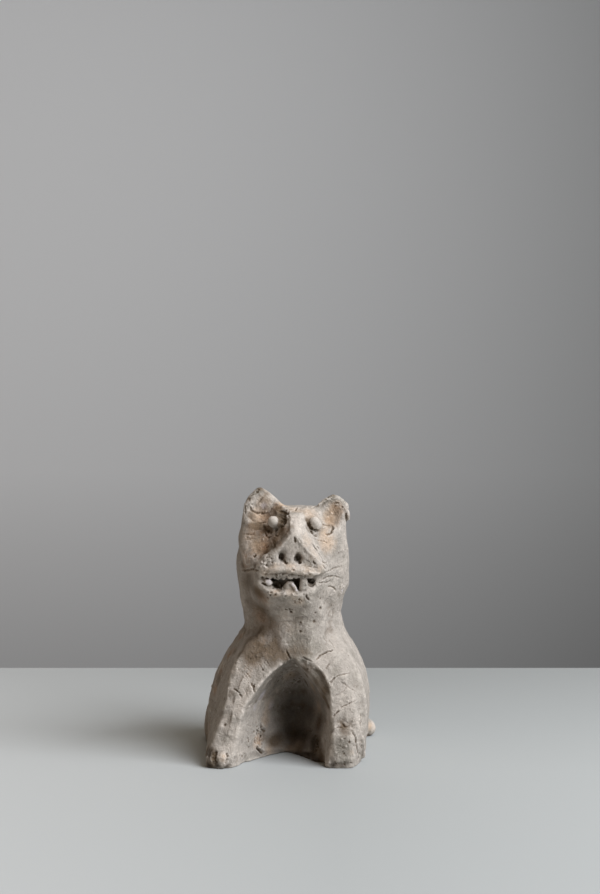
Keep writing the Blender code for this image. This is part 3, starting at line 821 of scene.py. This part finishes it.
holes = [
    # nostrils, torn at the edge
    (0.8, 1.6, (-4.9, 105.5)), (0.7, 1.5, (-2.5, 103.4)), (0.8, 1.5, (3, 103.8)),
    (0.8, 1.5, (5.8, 105.6)), (0.7, 1.5, (5.4, 102.4)),
    # the mouth and the chin
    (1, 2.6, (11.4, 91.2)), (0.8, 1.8, (12.2, 92.8)), (0.8, 1.4, (-13.2, 94.3)), (0.8, 1.4, (-8.2, 93.9)),
    (0.6, 0.9, (5, 95.4)), (0.6, 0.8, (10.5, 95.8)), (0.65, 1.3, (0.2, 78.5)), (0.5, 1.2, (0.9, 77.4)),
    (0.7, 1, (5.4, 83.2)), (0.5, 0.8, (6.4, 82.8)), (0.6, 0.8, (-10.9, 84.4)),
    # the neck
    (0.8, 1, (15.8, 79.4)), (0.45, 0.7, (17.7, 81.6)), (0.5, 0.7, (13.2, 77)), (0.45, 0.6, (15.8, 84.2)),
    (0.45, 0.6, (5.6, 72.2)), (0.55, 0.8, (5.6, 67.8)), (0.7, 0.9, (12.6, 72.8)),
    # the top of the hollow
    (0.7, 1, (-5, 43)), (0.9, 1.4, (5.1, 42.4)), (1.1, 1.6, (8.7, 41)), (0.6, 0.8, (-9.6, 43)),
    # legs and paws
    (0.6, 0.9, (-32.5, 34.2)), (0.6, 0.9, (-32.2, 21)), (0.8, 1.3, (35.1, 6.3)), (0.8, 1.3, (34.8, 4.6)),
    (0.9, 1.5, (39.4, 16)),
]
print("holes:", stroke(cat, front, holes, dirt=1.0, wobble=0.15), "points")

crumbs = []
# crumbled spots: middle, half width, half height, number of gouges and the deepest
for x, z, wide, high, count, deepest in (
        (-2.2, 124.2, 1.8, 4.2, 16, 0.9), (-9.6, 101.8, 3, 3.6, 6, 0.6), (1, 95.2, 9, 1, 9, 0.7),
        (-5.6, 91.4, 2, 2.6, 8, 0.9), (-8.6, 86.8, 2.8, 0.8, 5, 0.9), (-18.2, 40.4, 1, 2.2, 5, 1.1),
        (-15.2, 41.2, 1.2, 0.8, 3, 0.9), (-15.6, 15, 3.2, 5.4, 20, 1.5), (-19.8, 12.4, 1.2, 3, 4, 0.5),
        (13.4, 12, 1.4, 4.4, 12, 1.4), (11, 19, 1, 2, 4, 0.8), (-34, 1.4, 4.5, 1.2, 4, 0.8),
        (-39.5, 3, 3, 3.5, 4, 0.7), (-24, 5.6, 1.6, 1, 4, 0.7), (28, 1.8, 6, 1.2, 7, 0.6),
        (27.6, 12, 5, 6.5, 16, 0.5), (36, 9, 1.6, 4, 6, 0.5), (0, 45.6, 8, 4.4, 30, 0.9),
        (4.6, 83, 3.4, 1.6, 6, 0.6)):
    for index in range(count):
        way, out = hand.uniform(0, math.tau), hand.uniform(0, 1) ** 0.5
        start = Vector((x + wide * out * math.cos(way), z + high * out * math.sin(way)))
        run = Vector((hand.uniform(-GOUGE_REACH, GOUGE_REACH), hand.uniform(-GOUGE_REACH, GOUGE_REACH)))
        crumbs.append((hand.uniform(*GOUGE_WIDTH), deepest * hand.uniform(0.3, 1.0), start, start + run))
print("crumbled spots:", stroke(cat, front, crumbs, lip=0.15, dirt=1.0), "points")

# %% [markdown]
# The foot is cut flat where the figure stands. A piece should stay under 200,000 triangles,
# so the skin is thinned: first only the side that faces away from the camera, down to a
# share of its faces, then all of it by what is still too much.

# %% Cutting the foot and thinning the skin
MOST_TRIANGLES = 192000
HIDDEN_SHARE = 0.22

shape = bmesh.new()
shape.from_mesh(cat.data)
cut = bmesh.ops.bisect_plane(shape, geom=shape.verts[:] + shape.edges[:] + shape.faces[:],
                             plane_co=(0, 0, 0), plane_no=(0, 0, -1), clear_outer=True)
rim = [edge for edge in cut["geom_cut"] if isinstance(edge, bmesh.types.BMEdge) and edge.is_boundary]
bmesh.ops.edgeloop_fill(shape, edges=rim)
bmesh.ops.triangulate(shape, faces=shape.faces[:])
shape.to_mesh(cat.data)
shape.free()

seen_from = np.array(CAMERA_AT, np.float32) - of_corners(cat)
turned_away = (of_corners(cat, "normal") * seen_from).sum(1) < 0
hidden = cat.vertex_groups.new(name="hidden")
hidden.add(np.flatnonzero(turned_away).tolist(), 1.0, "REPLACE")
total = len(cat.data.polygons)
hidden_faces = total * turned_away.mean()
fewer = cat.modifiers.new("fewer", "DECIMATE")
fewer.vertex_group = hidden.name
fewer.ratio = 1 - (1 - HIDDEN_SHARE) * hidden_faces / total
settle(cat)
cat.vertex_groups.clear()
thinned = len(cat.data.polygons)
fewer = cat.modifiers.new("fewer", "DECIMATE")
fewer.ratio = min(1, MOST_TRIANGLES / thinned)
settle(cat)
print("from", total, "to", thinned, "to", len(cat.data.polygons), "triangles", size_of(cat))

# %% [markdown]
# Deep strokes and the thinning can leave tiny scraps of skin that hang on nothing. Walking
# from corner to corner along the edges finds every connected skin, and only the largest stays.

# %% Loose scraps
def keep_largest(piece):
    """Deletes what isn't joined to the largest skin; counts the scraps and the open edges."""
    shape = bmesh.new()
    shape.from_mesh(piece.data)
    unseen = set(shape.verts)
    skins = []
    while unseen:
        skin = [unseen.pop()]
        for corner in skin:
            for edge in corner.link_edges:
                neighbour = edge.other_vert(corner)
                if neighbour in unseen:
                    unseen.remove(neighbour)
                    skin.append(neighbour)
        skins.append(skin)
    skins.sort(key=len)
    scraps = [corner for skin in skins[:-1] for corner in skin]
    bmesh.ops.delete(shape, geom=scraps, context="VERTS")
    open_edges = sum(not edge.is_manifold for edge in shape.edges)
    shape.to_mesh(piece.data)
    shape.free()
    return len(skins) - 1, open_edges


print("scraps taken away, and edges that aren't between two faces:", keep_largest(cat))

# %% [markdown]
# The colour is darker where the clay curls in and paler where it curls out: dirt and wear,
# and also painted shade and highlight. Smoothing a copy of the skin and asking how far each
# corner lies below or above the copy gives just that.

# %% Hollows and edges
CURL_ROUNDS = 6


def cavity(piece, rounds):
    """How far each corner lies under the smoothed skin, in millimetres."""
    spots = of_corners(piece).astype(np.float64)
    ends = np.empty(len(piece.data.edges) * 2, np.int32)
    piece.data.edges.foreach_get("vertices", ends)
    a, b = ends.reshape(-1, 2).T
    share = np.bincount(a, minlength=len(spots)) + np.bincount(b, minlength=len(spots))
    smooth = spots.copy()
    for _ in range(rounds):
        total = np.stack([np.bincount(a, smooth[b, axis], len(spots))
                          + np.bincount(b, smooth[a, axis], len(spots)) for axis in range(3)], axis=1)
        smooth = total / share[:, None]
    return ((smooth - spots) * of_corners(piece, "normal")).sum(1) / MM


curl = cavity(cat, CURL_ROUNDS)
note(cat, "fine_hollow", curl)
print("fine hollows up to", round(float(np.percentile(curl, 99)), 2), "mm")

# %% [markdown]
# The colours of the fired clay lie in clouds: cream, a peach flush on the face, cool grey
# where smoke reached it, a blush of iron, brown grime in the sockets, soot in the hollow and
# white slip on the teeth. Cream and slip also paint light and highlights; blush, grime and soot
# also paint shade on the shaded side, in the mouth, in the hollow and along the foot.
# The clouds are patches again, and the shader breaks up their edges.

# %% Clouds of colour
front = Tracing(cat)
spots = of_corners(cat)
CLOUDS = {
    # the clay's cream tone, and painted light where the clay turns from the lamp: the right cheek and ear,
    # the corner of the muzzle, the upper lip and the right wall of the hollow
    "cream_and_painted_light": [
        (23, 128, 7, 0.3), (-13, 131, 7, 1), (-11, 129, 4, 0.8), (-28, 48, 4, 0.6), (28, 112, 8, 0.6),
        (27, 100, 8, 0.6), (22, 90, 8, 0.6), (-22, 112, 6, 1), (-24, 107, 4, 0.8), (-17, 107, 5, 0.6),
        (-10, 92.4, 3, 1), (2.8, 91, 2.4, 0.9), (-24, 30, 7, 0.9), (-25, 18, 7, 0.8), (-20, 36, 7, 0.9),
        (-16, 26, 7, 0.7), (-32, 23, 5, 0.7), (-26, 51, 7, 0.8), (-22, 44, 6, 0.5), (36, 58, 12, 0.4),
        (28, 66, 8, 0.4), (27, 30, 9, 0.6), (34, 23, 8, 0.7), (21, 8, 4, 1), (-11, 42, 6, 1),
        (-9, 35, 7, 0.8), (-9, 130, 5, 1), (-14, 34, 7, 1), (-6, 38, 6, 0.8), (-12, 30, 6, 0.8),
        (5, 83.5, 6, 1), (-29, 10, 7, 0.6), (-25, 8, 6, 0.6), (18, 88, 8, 0.5), (26, 87, 6, 0.6),
        (4, 122, 8, 0.5), (21, 80, 6, 0.4), (3, 83, 7, 0.9), (-2, 75, 7, 0.8), (2, 110, 7, 0.6),
        (6, 106, 6, 0.5), (-12.6, 101, 5, 0.7), (-12.4, 97, 4, 1), (-12.6, 106, 4, 0.3), (6, 119, 6, 0.5),
        (-9, 41, 7, 0.5), (12, 97, 6, 1), (1, 98.6, 5, 1), (-1, 91.5, 4, 0.5), (-6, 99, 5, 0.9),
        (6.5, 98.4, 5, 1), (16, 97.6, 4, 0.9), (3, 125, 7, 0.4)],
    "peach": [
        (1, 99, 5, 0.7), (-7, 99, 5, 0.7), (9, 98, 6, 0.6), (16, 99, 5, 0.5), (-12, 97, 5, 0.5),
        (9, 113, 7, 0.4), (13, 106, 6, 0.4), (19, 112, 9, 0.8), (20, 123, 8, 0.8), (23, 129, 7, 0.8),
        (10, 127, 8, 0.6), (2, 129, 6, 0.6), (-15, 125, 9, 0.9), (-12, 133, 7, 0.6), (-15, 110, 9, 1),
        (-20, 116, 7, 0.6), (-7, 87, 5, 0.7), (1, 86.6, 5, 0.5), (5, 83, 5, 0.5), (-15, 62, 7, 0.3),
        (-18, 52, 8, 0.3), (-33, 5, 4, 0.8), (-16, 12, 6, 0.6), (12, 40, 7, 0.6), (15, 30, 7, 0.6),
        (4, 10, 9, 0.8), (-12, 24, 7, 0.6), (-10, 8, 6, 0.6), (-10, 31, 7, 0.5), (0, 46, 7, 0.6),
        (-12, 36, 8, 0.3), (41, 20, 5, 0.9), (-3, 131, 5, 0.9), (31, 7, 3, 0.6), (2, 68, 8, 0.3),
        (18, 118, 5, 0.5)],
    "smoke": [
        (9, 103, 5, 0.4), (4.4, 102.6, 4, 0.7), (3, 70, 6, 0.5), (11, 100.4, 4, 0.4), (-2, 121, 5, 0.5),
        (2, 117, 4, 0.3), (14, 86, 8, 0.2), (6, 76, 9, 0.5), (5, 62, 11, 0.9), (14, 60, 8, 0.7),
        (8, 55, 6, 1), (23, 47, 5, 0.8), (-27, 37, 5, 0.7), (-31, 15, 5, 0.6), (21, 135, 5, 1),
        (17.5, 133, 3, 1), (27, 133.5, 4, 1), (24, 127, 5, 0.5), (-18, 73, 8, 0.4), (14, 46, 6, 1),
        (29, 3, 6, 0.5), (0, 84.5, 3, 0.4), (1, 95.6, 4, 0.5), (-6, 95.6, 4, 0.9), (27, 10, 9, 0.4),
        (7, 95, 3, 0.8), (-2.4, 90, 2.6, 0.9), (7.8, 91.4, 2.6, 1), (5, 60, 10, 0.5), (-15, 138.5, 4, 1),
        (23, 136, 4, 1), (14, 112, 4, 0.5), (27, 12, 8, 0.6), (27, 6, 7, 0.6), (41, 18, 4, 0.6),
        (31, 44, 10, 0.3), (36, 34, 8, 0.3), (-3, 124, 9, 0.4), (-18, 137, 4, 0.9), (12, 71, 7, 0.6),
        (13, 121, 4, 0.9), (-8, 122, 4, 1), (34, 46, 8, 0.4), (5, 113, 4, 0.5)],
    # a blush of iron, and painted warm shade down the right side of the neck and flank, beside the nose and
    # on the right cheek
    "blush_and_painted_shade": [
        (-11, 124.5, 6, 0.8), (-12, 110, 7, 1), (-17, 119, 7, 0.8), (21, 122.5, 6, 0.5),
        (-6, 129.5, 5, 1), (-7, 114, 6, 1), (-3, 119, 5, 0.8), (-11, 57, 6, 0.4), (-14, 62, 6, 0.4),
        (-20, 47, 6, 0.3), (-15, 14, 6, 0.7), (-2, 101.6, 3, 0.5), (24, 129, 7, 0.6), (-28, 58, 7, 0.5),
        (16, 110, 4, 0.3), (-22, 100, 7, 0.6), (14, 12, 8, 0.5), (13, 28, 8, 0.4), (0, 9, 7, 0.5),
        (-14, 86, 11, 0.8), (-14, 76, 10, 0.7), (-24, 65, 5, 0.6), (-30, 56, 5, 0.7), (-34, 48, 5, 0.6),
        (-37, 38, 5, 0.5), (-1, 118, 4, 0.6), (-5, 111, 4, 0.6), (-11, 117, 6, 0.9), (10, 121, 3, 0.6),
        (16, 36, 6, 0.5), (-22, 104, 9, 0.6), (-10, 72, 7, 0.3), (-38, 40, 12, 0.4), (-40, 20, 10, 0.4)],
    # brown grime, and painted shade: under the jaw on the right shoulder, down the right side of the neck,
    # beside the nose and the eyes, in the hollow and along the foot
    "grime_and_painted_shade": [
        (-3, 124.4, 6, 1), (-5, 128, 4, 0.8), (-11, 119, 5, 1), (-7, 113, 6, 0.9), (-4, 118, 6, 0.9),
        (-16, 121, 6, 0.8), (-21, 121, 4, 0.5), (9.4, 121.5, 3, 1), (10.6, 119, 2.6, 0.9),
        (-6, 90.6, 4, 1), (4, 93, 4, 0.7), (11, 91.8, 2.6, 1), (-17, 100.5, 4, 0.7), (-23, 101, 4, 0.8),
        (-14, 87, 9, 0.7), (-17, 88, 8, 0.7), (-15, 80, 7, 0.5), (-6, 68, 6, 0.5), (-27, 58, 5, 0.6),
        (-35, 44, 6, 0.6), (-4.6, 112.4, 3.4, 0.8), (-12, 78, 9, 0.7), (-16.5, 95, 6, 0.4),
        (-21, 92, 9, 0.7), (-19.5, 82, 8, 0.6), (-38.4, 8, 4, 1), (-7, 93.6, 3.5, 1), (-5, 88.4, 3, 0.8),
        (-19, 95, 7, 0.4), (-8, 72, 6, 0.7), (-20, 58, 8, 1), (-25, 56, 5, 0.6), (-12, 58, 8, 1),
        (-5, 57, 7, 1), (-7, 63, 6, 0.8), (-36, 60, 12, 0.3), (-40, 36, 12, 0.4), (-42, 16, 10, 0.5),
        (3, 46, 8, 0.5), (8, 49, 6, 0.9), (14, 42, 7, 0.8), (18, 34, 7, 1), (8.6, 42, 4, 1),
        (15, 22, 9, 1), (14, 10, 9, 1), (17, 2, 7, 1), (5, 8, 7, 0.9), (-5, 14, 8, 0.9),
        (-13, 16, 6, 0.6), (-41, 8, 6, 1), (-39, 1, 6, 1), (-31, 0, 4, 0.6), (39.6, 15.6, 3, 1),
        (-19, 64, 8, 1), (-13, 68, 7, 1), (-20, 52, 7, 0.5), (-8, 52, 6, 0.7), (2, 57, 7, 0.6),
        (9, 57, 6, 0.6), (-9, 12, 7, 0.8), (14, 4, 8, 1), (24, 1, 5, 0.5), (28, 18, 6, 0.7),
        (-29, 37, 4, 0.5), (-16, 53, 6, 0.5), (27, 20.6, 4, 0.6), (-8, 110, 4, 0.8), (0.6, 120, 4, 0.7),
        (-2, 115.6, 4, 0.8), (-7, 109.4, 4, 0.5), (-12.6, 104.6, 4, 0.6), (-20, 126, 4, 0.5),
        (20.5, 120.4, 4, 0.7), (-15, 120, 4, 0.9), (-18, 120, 4, 0.6), (-18.5, 126, 4, 0.6),
        (19.5, 31, 4, 0.9), (18, 38.5, 4, 0.9), (-37.5, 5, 3, 0.8), (8.6, 46, 4, 0.8), (-8, 117, 4, 0.8),
        (9, 123.4, 3, 1), (-6, 130, 5, 0.7), (-14.6, 139.5, 4, 1), (-11, 137, 4, 0.6), (22, 136.4, 5, 1),
        (27, 134.4, 4, 0.8), (-4.4, 125, 5, 1), (-4.2, 121.4, 3, 1.4), (-10, 120, 3, 0.7),
        (-18, 60, 7, 0.8), (5, 61, 8, 0.3), (29, 125, 3, 0.7), (-1.6, 54, 4, 0.6), (-20, 134, 3, 0.9),
        (22, 136, 3, 0.8), (14, 72, 5, 0.3)],
    # soot, and painted shade: in the corner of the mouth, and a contact shadow along the foot where it meets
    # the floor
    "soot_and_painted_shade": [
        (-6, 90.6, 3, 0.8), (-6.8, 93.8, 3, 1), (-4.4, 125, 4, 0.5), (-2, 126, 4, 0.5),
        (3.8, 92.6, 3, 0.6), (11.4, 92, 2, 0.8), (-39.4, 7, 5, 0.6), (-40, 0.8, 3, 0.8),
        (-36, 0.6, 3, 0.8), (-31, 0.6, 3, 0.6), (18, 1.8, 3, 0.8), (22, 0.8, 3, 0.8), (27, 0.6, 3, 0.6),
        (13.5, 3, 3, 1), (9, 4.6, 3, 0.8), (4, 6.2, 2, 0.6)],
    # white slip on the pearl, and painted light: a highlight on the fang's curled edge and the jowl scrap,
    # and light on the right wall of the hollow and in the right ear
    "slip": [
        (-10, 92.4, 2.6, 1.6), (2.2, 91.2, 1.6, 1.2), (3.9, 88.8, 1.5, 1), (0.4, 92.4, 1.4, 0.8),
        (26.6, 88.2, 1.8, 0.9), (-13.5, 36, 6, 0.7), (-9, 31, 6, 0.5), (-17, 30, 5, 0.4),
        (-12.4, 130.6, 4, 0.6)],
}
fields = {label: patch_field(spots, front, patches) for label, patches in CLOUDS.items()}
print("clouds:", ", ".join(fields))

# %% [markdown]
# Deep in the hollow, soot and painted shade lie as they are seen from the front. So they are laid
# by ovals on the tracing, written as x, z, half width, half height and strength, and only past the legs.

# %% Soot and painted shade in the hollow
# the last two ovals are a painted contact shadow along the foot of the back wall
HOLLOW_SOOT_AND_SHADE = [
    (3.4, 26, 10, 21, 0.61), (4, 12, 15, 11, 0.28), (10, 12, 5, 9, 0.25), (15, 30, 7, 24, 0.44),
    (13.4, 11, 4, 6, 0.25), (-8, 18, 6, 8, 0.3), (-6, 6.6, 17, 2.6, 0.4), (10, 4.6, 9, 3.6, 0.6)]
MOUTH_OF_HOLLOW = (-37 * MM, -30 * MM)
DEEPEST = 20 * MM
ROOF_OF_HOLLOW = 56 * MM
OVAL_END = 1.1
OVAL_EDGE = 0.7

eye = np.array(CAMERA_AT, np.float32)
reach = ((SHEET_Y - CAMERA_AT.y) / (spots[:, 1] - CAMERA_AT.y))[:, None]
sheet = (eye + (spots - eye) * reach) / MM
inside = np.clip((spots[:, 1] - MOUTH_OF_HOLLOW[0]) / (MOUTH_OF_HOLLOW[1] - MOUTH_OF_HOLLOW[0]), 0, 1)
inside = inside * (spots[:, 1] < DEEPEST) * (spots[:, 2] < ROOF_OF_HOLLOW)
for x, z, wide, high, strength in HOLLOW_SOOT_AND_SHADE:
    away = np.hypot((sheet[:, 0] - x) / wide, (sheet[:, 2] - z) / high)
    soft = np.clip((OVAL_END - away) / OVAL_EDGE, 0, 1)
    fields["soot_and_painted_shade"] = np.clip(fields["soot_and_painted_shade"] + strength * inside * soft * soft * (3 - 2 * soft), 0, 1)
for label, field in fields.items():
    note(cat, label, field)
print("soot on", round(100 * float((fields["soot_and_painted_shade"] > 0).mean())), "% of the corners")

# %% [markdown]
# Fired tile clay is matt and porous: roughness near 0.9, almost no gloss, and the refractive
# index of brick, about 1.5. Colours are written as sRGB hex values and turned to linear
# light. Each is laid over what is below it where a value runs from low to high. Noise breaks
# up the edges of the clouds. Edges that curl out are painted pale, as worn and lit, and fine
# hollows and cuts are painted dark, with earth and shade.

# %% The colours of the fired clay
BUFF = "#a79e94"
CREAM = "#c4b9ad"
PEACH = "#c8ad92"
SMOKE = "#8b8479"
# iron blush, also painted warm shade on the shaded side
BLUSH_AND_SHADE = "#a07a58"
# grime, also the painted shade of the shaded side, of the hollow and of fine hollows in the skin
GRIME_AND_SHADE = "#5e4d39"
# soot, also the painted shade in the hollow, in the mouth and along the foot
SOOT_AND_SHADE = "#32271b"
# white slip, also painted light and highlights
SLIP_AND_LIGHT = "#dad3d8"
# earth in cuts, holes and pores, also their painted shade
EARTH_AND_SHADE = "#3a3129"
# worn edges, also a painted highlight on edges that curl out
RUBBED_AND_LIT = "#cfc5b9"


def linear(hex_colour):
    """An sRGB hex value as linear red, green, blue and one."""
    channels = [int(hex_colour[index:index + 2], 16) / 255 for index in (1, 3, 5)]
    return (*[c / 12.92 if c <= 0.04045 else ((c + 0.055) / 1.055) ** 2.4 for c in channels], 1)


clay = bpy.data.materials.new("fired_tile_clay")
clay.use_nodes = True
tree = clay.node_tree
shader = tree.nodes["Principled BSDF"]
for label, value in (("Roughness", 0.92), ("IOR", 1.5), ("Specular IOR Level", 0.25)):
    shader.inputs[label].default_value = value

own = add(tree, "ShaderNodeTexCoord", out="Object")
in_mm = add(tree, "ShaderNodeVectorMath", {0: own, "Scale": 1000}, operation="SCALE")
dragged = add(tree, "ShaderNodeMapping", {"Vector": in_mm, "Rotation": (0, 0.35, 0), "Scale": (1, 1, 0.22)})
# noise: its place, the width of a lump in millimetres, detail, roughness and distortion
noises = {}
for label, place, width, detail, roughness, distortion in (
        ("clouds", in_mm, 7, 5, 0.6, 0), ("mottle", in_mm, 1.9, 4, 0.65, 0), ("grit", in_mm, 0.6, 3, 0.6, 0),
        ("drag", dragged, 1.3, 3, 0.6, 0.6), ("lumps", in_mm, 3.2, 5, 0.62, 0.8)):
    noises[label] = add(tree, "ShaderNodeTexNoise",
                        {"Vector": place, "Scale": 1 / width, "Detail": detail, "Roughness": roughness,
                         "Distortion": distortion}, out="Fac")
kept = {label: add(tree, "ShaderNodeAttribute", out="Fac", attribute_name=label)
        for label in (*CLOUDS, "fine_hollow", "scored", "torn", "wiped")}

# layers: the value, its low and its high end, the strength, and the colour
layers = [(noises["clouds"], 0.5, 0.7, 0.5, CREAM), (noises["clouds"], 0.48, 0.32, 0.5, SMOKE)]
for label, hex_colour, strength, breakup, pattern, low, high in (
        ("cream_and_painted_light", CREAM, 0.9, 0.6, "mottle", 0.1, 0.8), ("peach", PEACH, 0.8, 0.6, "mottle", 0.1, 0.9),
        ("smoke", SMOKE, 0.85, 0.7, "clouds", 0.15, 0.8), ("blush_and_painted_shade", BLUSH_AND_SHADE, 0.6, 0.9, "mottle", 0.15, 0.9),
        ("grime_and_painted_shade", GRIME_AND_SHADE, 0.85, 0.7, "mottle", 0.15, 0.9), ("soot_and_painted_shade", SOOT_AND_SHADE, 0.97, 0.25, "clouds", 0.05, 0.9),
        ("slip", SLIP_AND_LIGHT, 0.95, 0.3, "mottle", 0.2, 0.8)):
    broken = add(tree, "ShaderNodeMath", [noises[pattern], 0.5], operation="SUBTRACT")
    broken = add(tree, "ShaderNodeMath", [broken, breakup], operation="MULTIPLY")
    edge = add(tree, "ShaderNodeMath", [kept[label], broken], operation="ADD")
    layers.append((edge, low, high, strength, hex_colour))
# fine edges painted pale as worn and lit, fine hollows painted dark as grime and shade, cuts as earth and
# shade
layers += [(kept["fine_hollow"], -0.03, -0.2, 0.55, RUBBED_AND_LIT), (kept["fine_hollow"], 0.04, 0.28, 0.75, GRIME_AND_SHADE),
           (kept["scored"], 0.35, 1, 0.85, EARTH_AND_SHADE)]

dark = add(tree, "ShaderNodeMath", [kept["soot_and_painted_shade"], kept["grime_and_painted_shade"]], operation="ADD")
clean = add(tree, "ShaderNodeMapRange", [dark, 0, 0.7, 1, 0.1])
colour = linear(BUFF)
for value, low, high, strength, hex_colour in layers:
    amount = add(tree, "ShaderNodeMapRange", [value, low, high, 0, strength])
    if hex_colour == RUBBED_AND_LIT:
        # a pale edge stays dark under soot, grime and the painted shade
        amount = add(tree, "ShaderNodeMath", [amount, clean], operation="MULTIPLY")
    colour = add(tree, "ShaderNodeMix", {"Factor": amount, 6: colour, 7: linear(hex_colour)}, out=2,
                 data_type="RGBA")
for label, low, high in (("mottle", 0.88, 1.1), ("grit", 0.86, 1.1)):
    grains = add(tree, "ShaderNodeMapRange", [noises[label], 0.3, 0.7, low, high])
    colour = add(tree, "ShaderNodeMix", {"Factor": 1, 6: colour, 7: grains}, out=2, data_type="RGBA",
                 blend_type="MULTIPLY")
tree.links.new(colour, shader.inputs["Base Color"])
print("the colour has", len(layers), "layers")

# %% [markdown]
# The relief that is finer than the skin's corners is a bump, added up from the same noises
# with their heights in millimetres. Torn clay is more rugged, and wiped clay almost smooth.

# %% The fine relief of the fired clay
rugged = add(tree, "ShaderNodeMath", [kept["torn"], 1.2], operation="MULTIPLY")
rugged = add(tree, "ShaderNodeMath", [rugged, 0.25], operation="ADD")
height = 0
for label, tall in (("drag", 0.35), ("lumps", 1), ("mottle", rugged), ("grit", 0.12)):
    relief = add(tree, "ShaderNodeMath", [noises[label], tall], operation="MULTIPLY")
    height = add(tree, "ShaderNodeMath", [height, relief], operation="ADD")
smooth = add(tree, "ShaderNodeMapRange", [kept["wiped"], 0, 1, 1, 0.15])
height = add(tree, "ShaderNodeMath", [height, smooth], operation="MULTIPLY")
bump = add(tree, "ShaderNodeBump", {"Height": height, "Distance": MM, "Strength": 0.9})
tree.links.new(bump, shader.inputs["Normal"])

cat.data.materials.clear()
cat.data.materials.append(clay)
cat.data.shade_smooth()
print("finished clay with", len(tree.nodes), "nodes")

# %% [markdown]
# The studio is plain: a pale matt board that ends behind the figure, and beyond it a sheet
# of matt paper. Both carry painted light falloff: the board darkens to the right and towards
# the back, the paper is lighter at the top left. Both are wholly without gloss to the eye.
# One large soft window lights the figure from its left, with a weak fill from above and a
# very weak warm one on the shaded side.

# %% The studio
TABLE_END = 0.237
WALL_AT = 1.3
MATT = 0.9
ROOM_LIGHT = 0.056
AIM = (0, 0, 0.07)

# each surface is painted with light falloff: it goes from one colour to another across a way, and to a share
# of it along another
for piece_name, corners, name, axes, one, other, across, along, share in (
        ("floor", ((-1.4, -1.1, 0), (1.4, -1.1, 0), (1.4, TABLE_END, 0), (-1.4, TABLE_END, 0)),
         "pale_board", "XY", "#cfd0ce", "#aaacaa", (-0.25, 0.02), (-0.05, 0.22), 0.84),
        ("backdrop", ((-5, WALL_AT, -1), (5, WALL_AT, -1), (5, WALL_AT, 4), (-5, WALL_AT, 4)),
         "graded_paper", "XZ", "#eeeeee", "#9c9c9b", (-0.5, 0.5), (0.12, -0.18), 0.74)):
    shape = bmesh.new()
    shape.faces.new([shape.verts.new(corner) for corner in corners])
    surface = new_piece(piece_name, shape)
    paint = bpy.data.materials.new(name)
    paint.use_nodes = True
    tree = paint.node_tree
    place = add(tree, "ShaderNodeTexCoord", out="Object")
    parts = add(tree, "ShaderNodeSeparateXYZ", [place], out=None).outputs
    amount = add(tree, "ShaderNodeMapRange", [parts[axes[0]], *across, 0, 1])
    graded = add(tree, "ShaderNodeMix", {"Factor": amount, 6: linear(one), 7: linear(other)}, out=2,
                 data_type="RGBA")
    shade = add(tree, "ShaderNodeMapRange", [parts[axes[1]], *along, 1, share])
    graded = add(tree, "ShaderNodeMix", {"Factor": 1, 6: graded, 7: shade}, out=2, data_type="RGBA",
                 blend_type="MULTIPLY")
    tree.links.new(graded, tree.nodes["Principled BSDF"].inputs["Base Color"])
    tree.nodes["Principled BSDF"].inputs["Roughness"].default_value = MATT
    surface.data.materials.append(paint)

# large soft lights: place, width and height in metres, watts and colour
for name, place, width, height, power, hex_colour in (
        ("window", (0.88, -0.63, 1.02), 1.0, 0.8, 34, "#f4f8ff"),
        ("ceiling", (0.1, 0.1, 1.3), 0.8, 0.8, 2.5, "#fff6e6"),
        ("bounce", (-0.8, -0.6, 0.4), 0.9, 0.9, 0.6, "#ffbe74")):
    data = bpy.data.lights.new(name, "AREA")
    data.shape = "RECTANGLE"
    data.size, data.size_y = width, height
    data.energy = power
    data.color = linear(hex_colour)[:3]
    light = bpy.data.objects.new(name, data)
    light.location = place
    light.rotation_euler = (Vector(AIM) - Vector(place)).to_track_quat("-Z", "Y").to_euler()
    bpy.context.scene.collection.objects.link(light)

room = bpy.data.worlds.new("room")
room.use_nodes = True
room.node_tree.nodes["Background"].inputs["Color"].default_value = linear("#ffecc8")
room.node_tree.nodes["Background"].inputs["Strength"].default_value = ROOM_LIGHT
bpy.context.scene.world = room
bpy.context.scene.view_settings.view_transform = "Standard"
print("studio ready")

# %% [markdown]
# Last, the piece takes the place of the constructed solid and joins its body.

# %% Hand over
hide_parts("tile_cat")
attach(cat, "root")
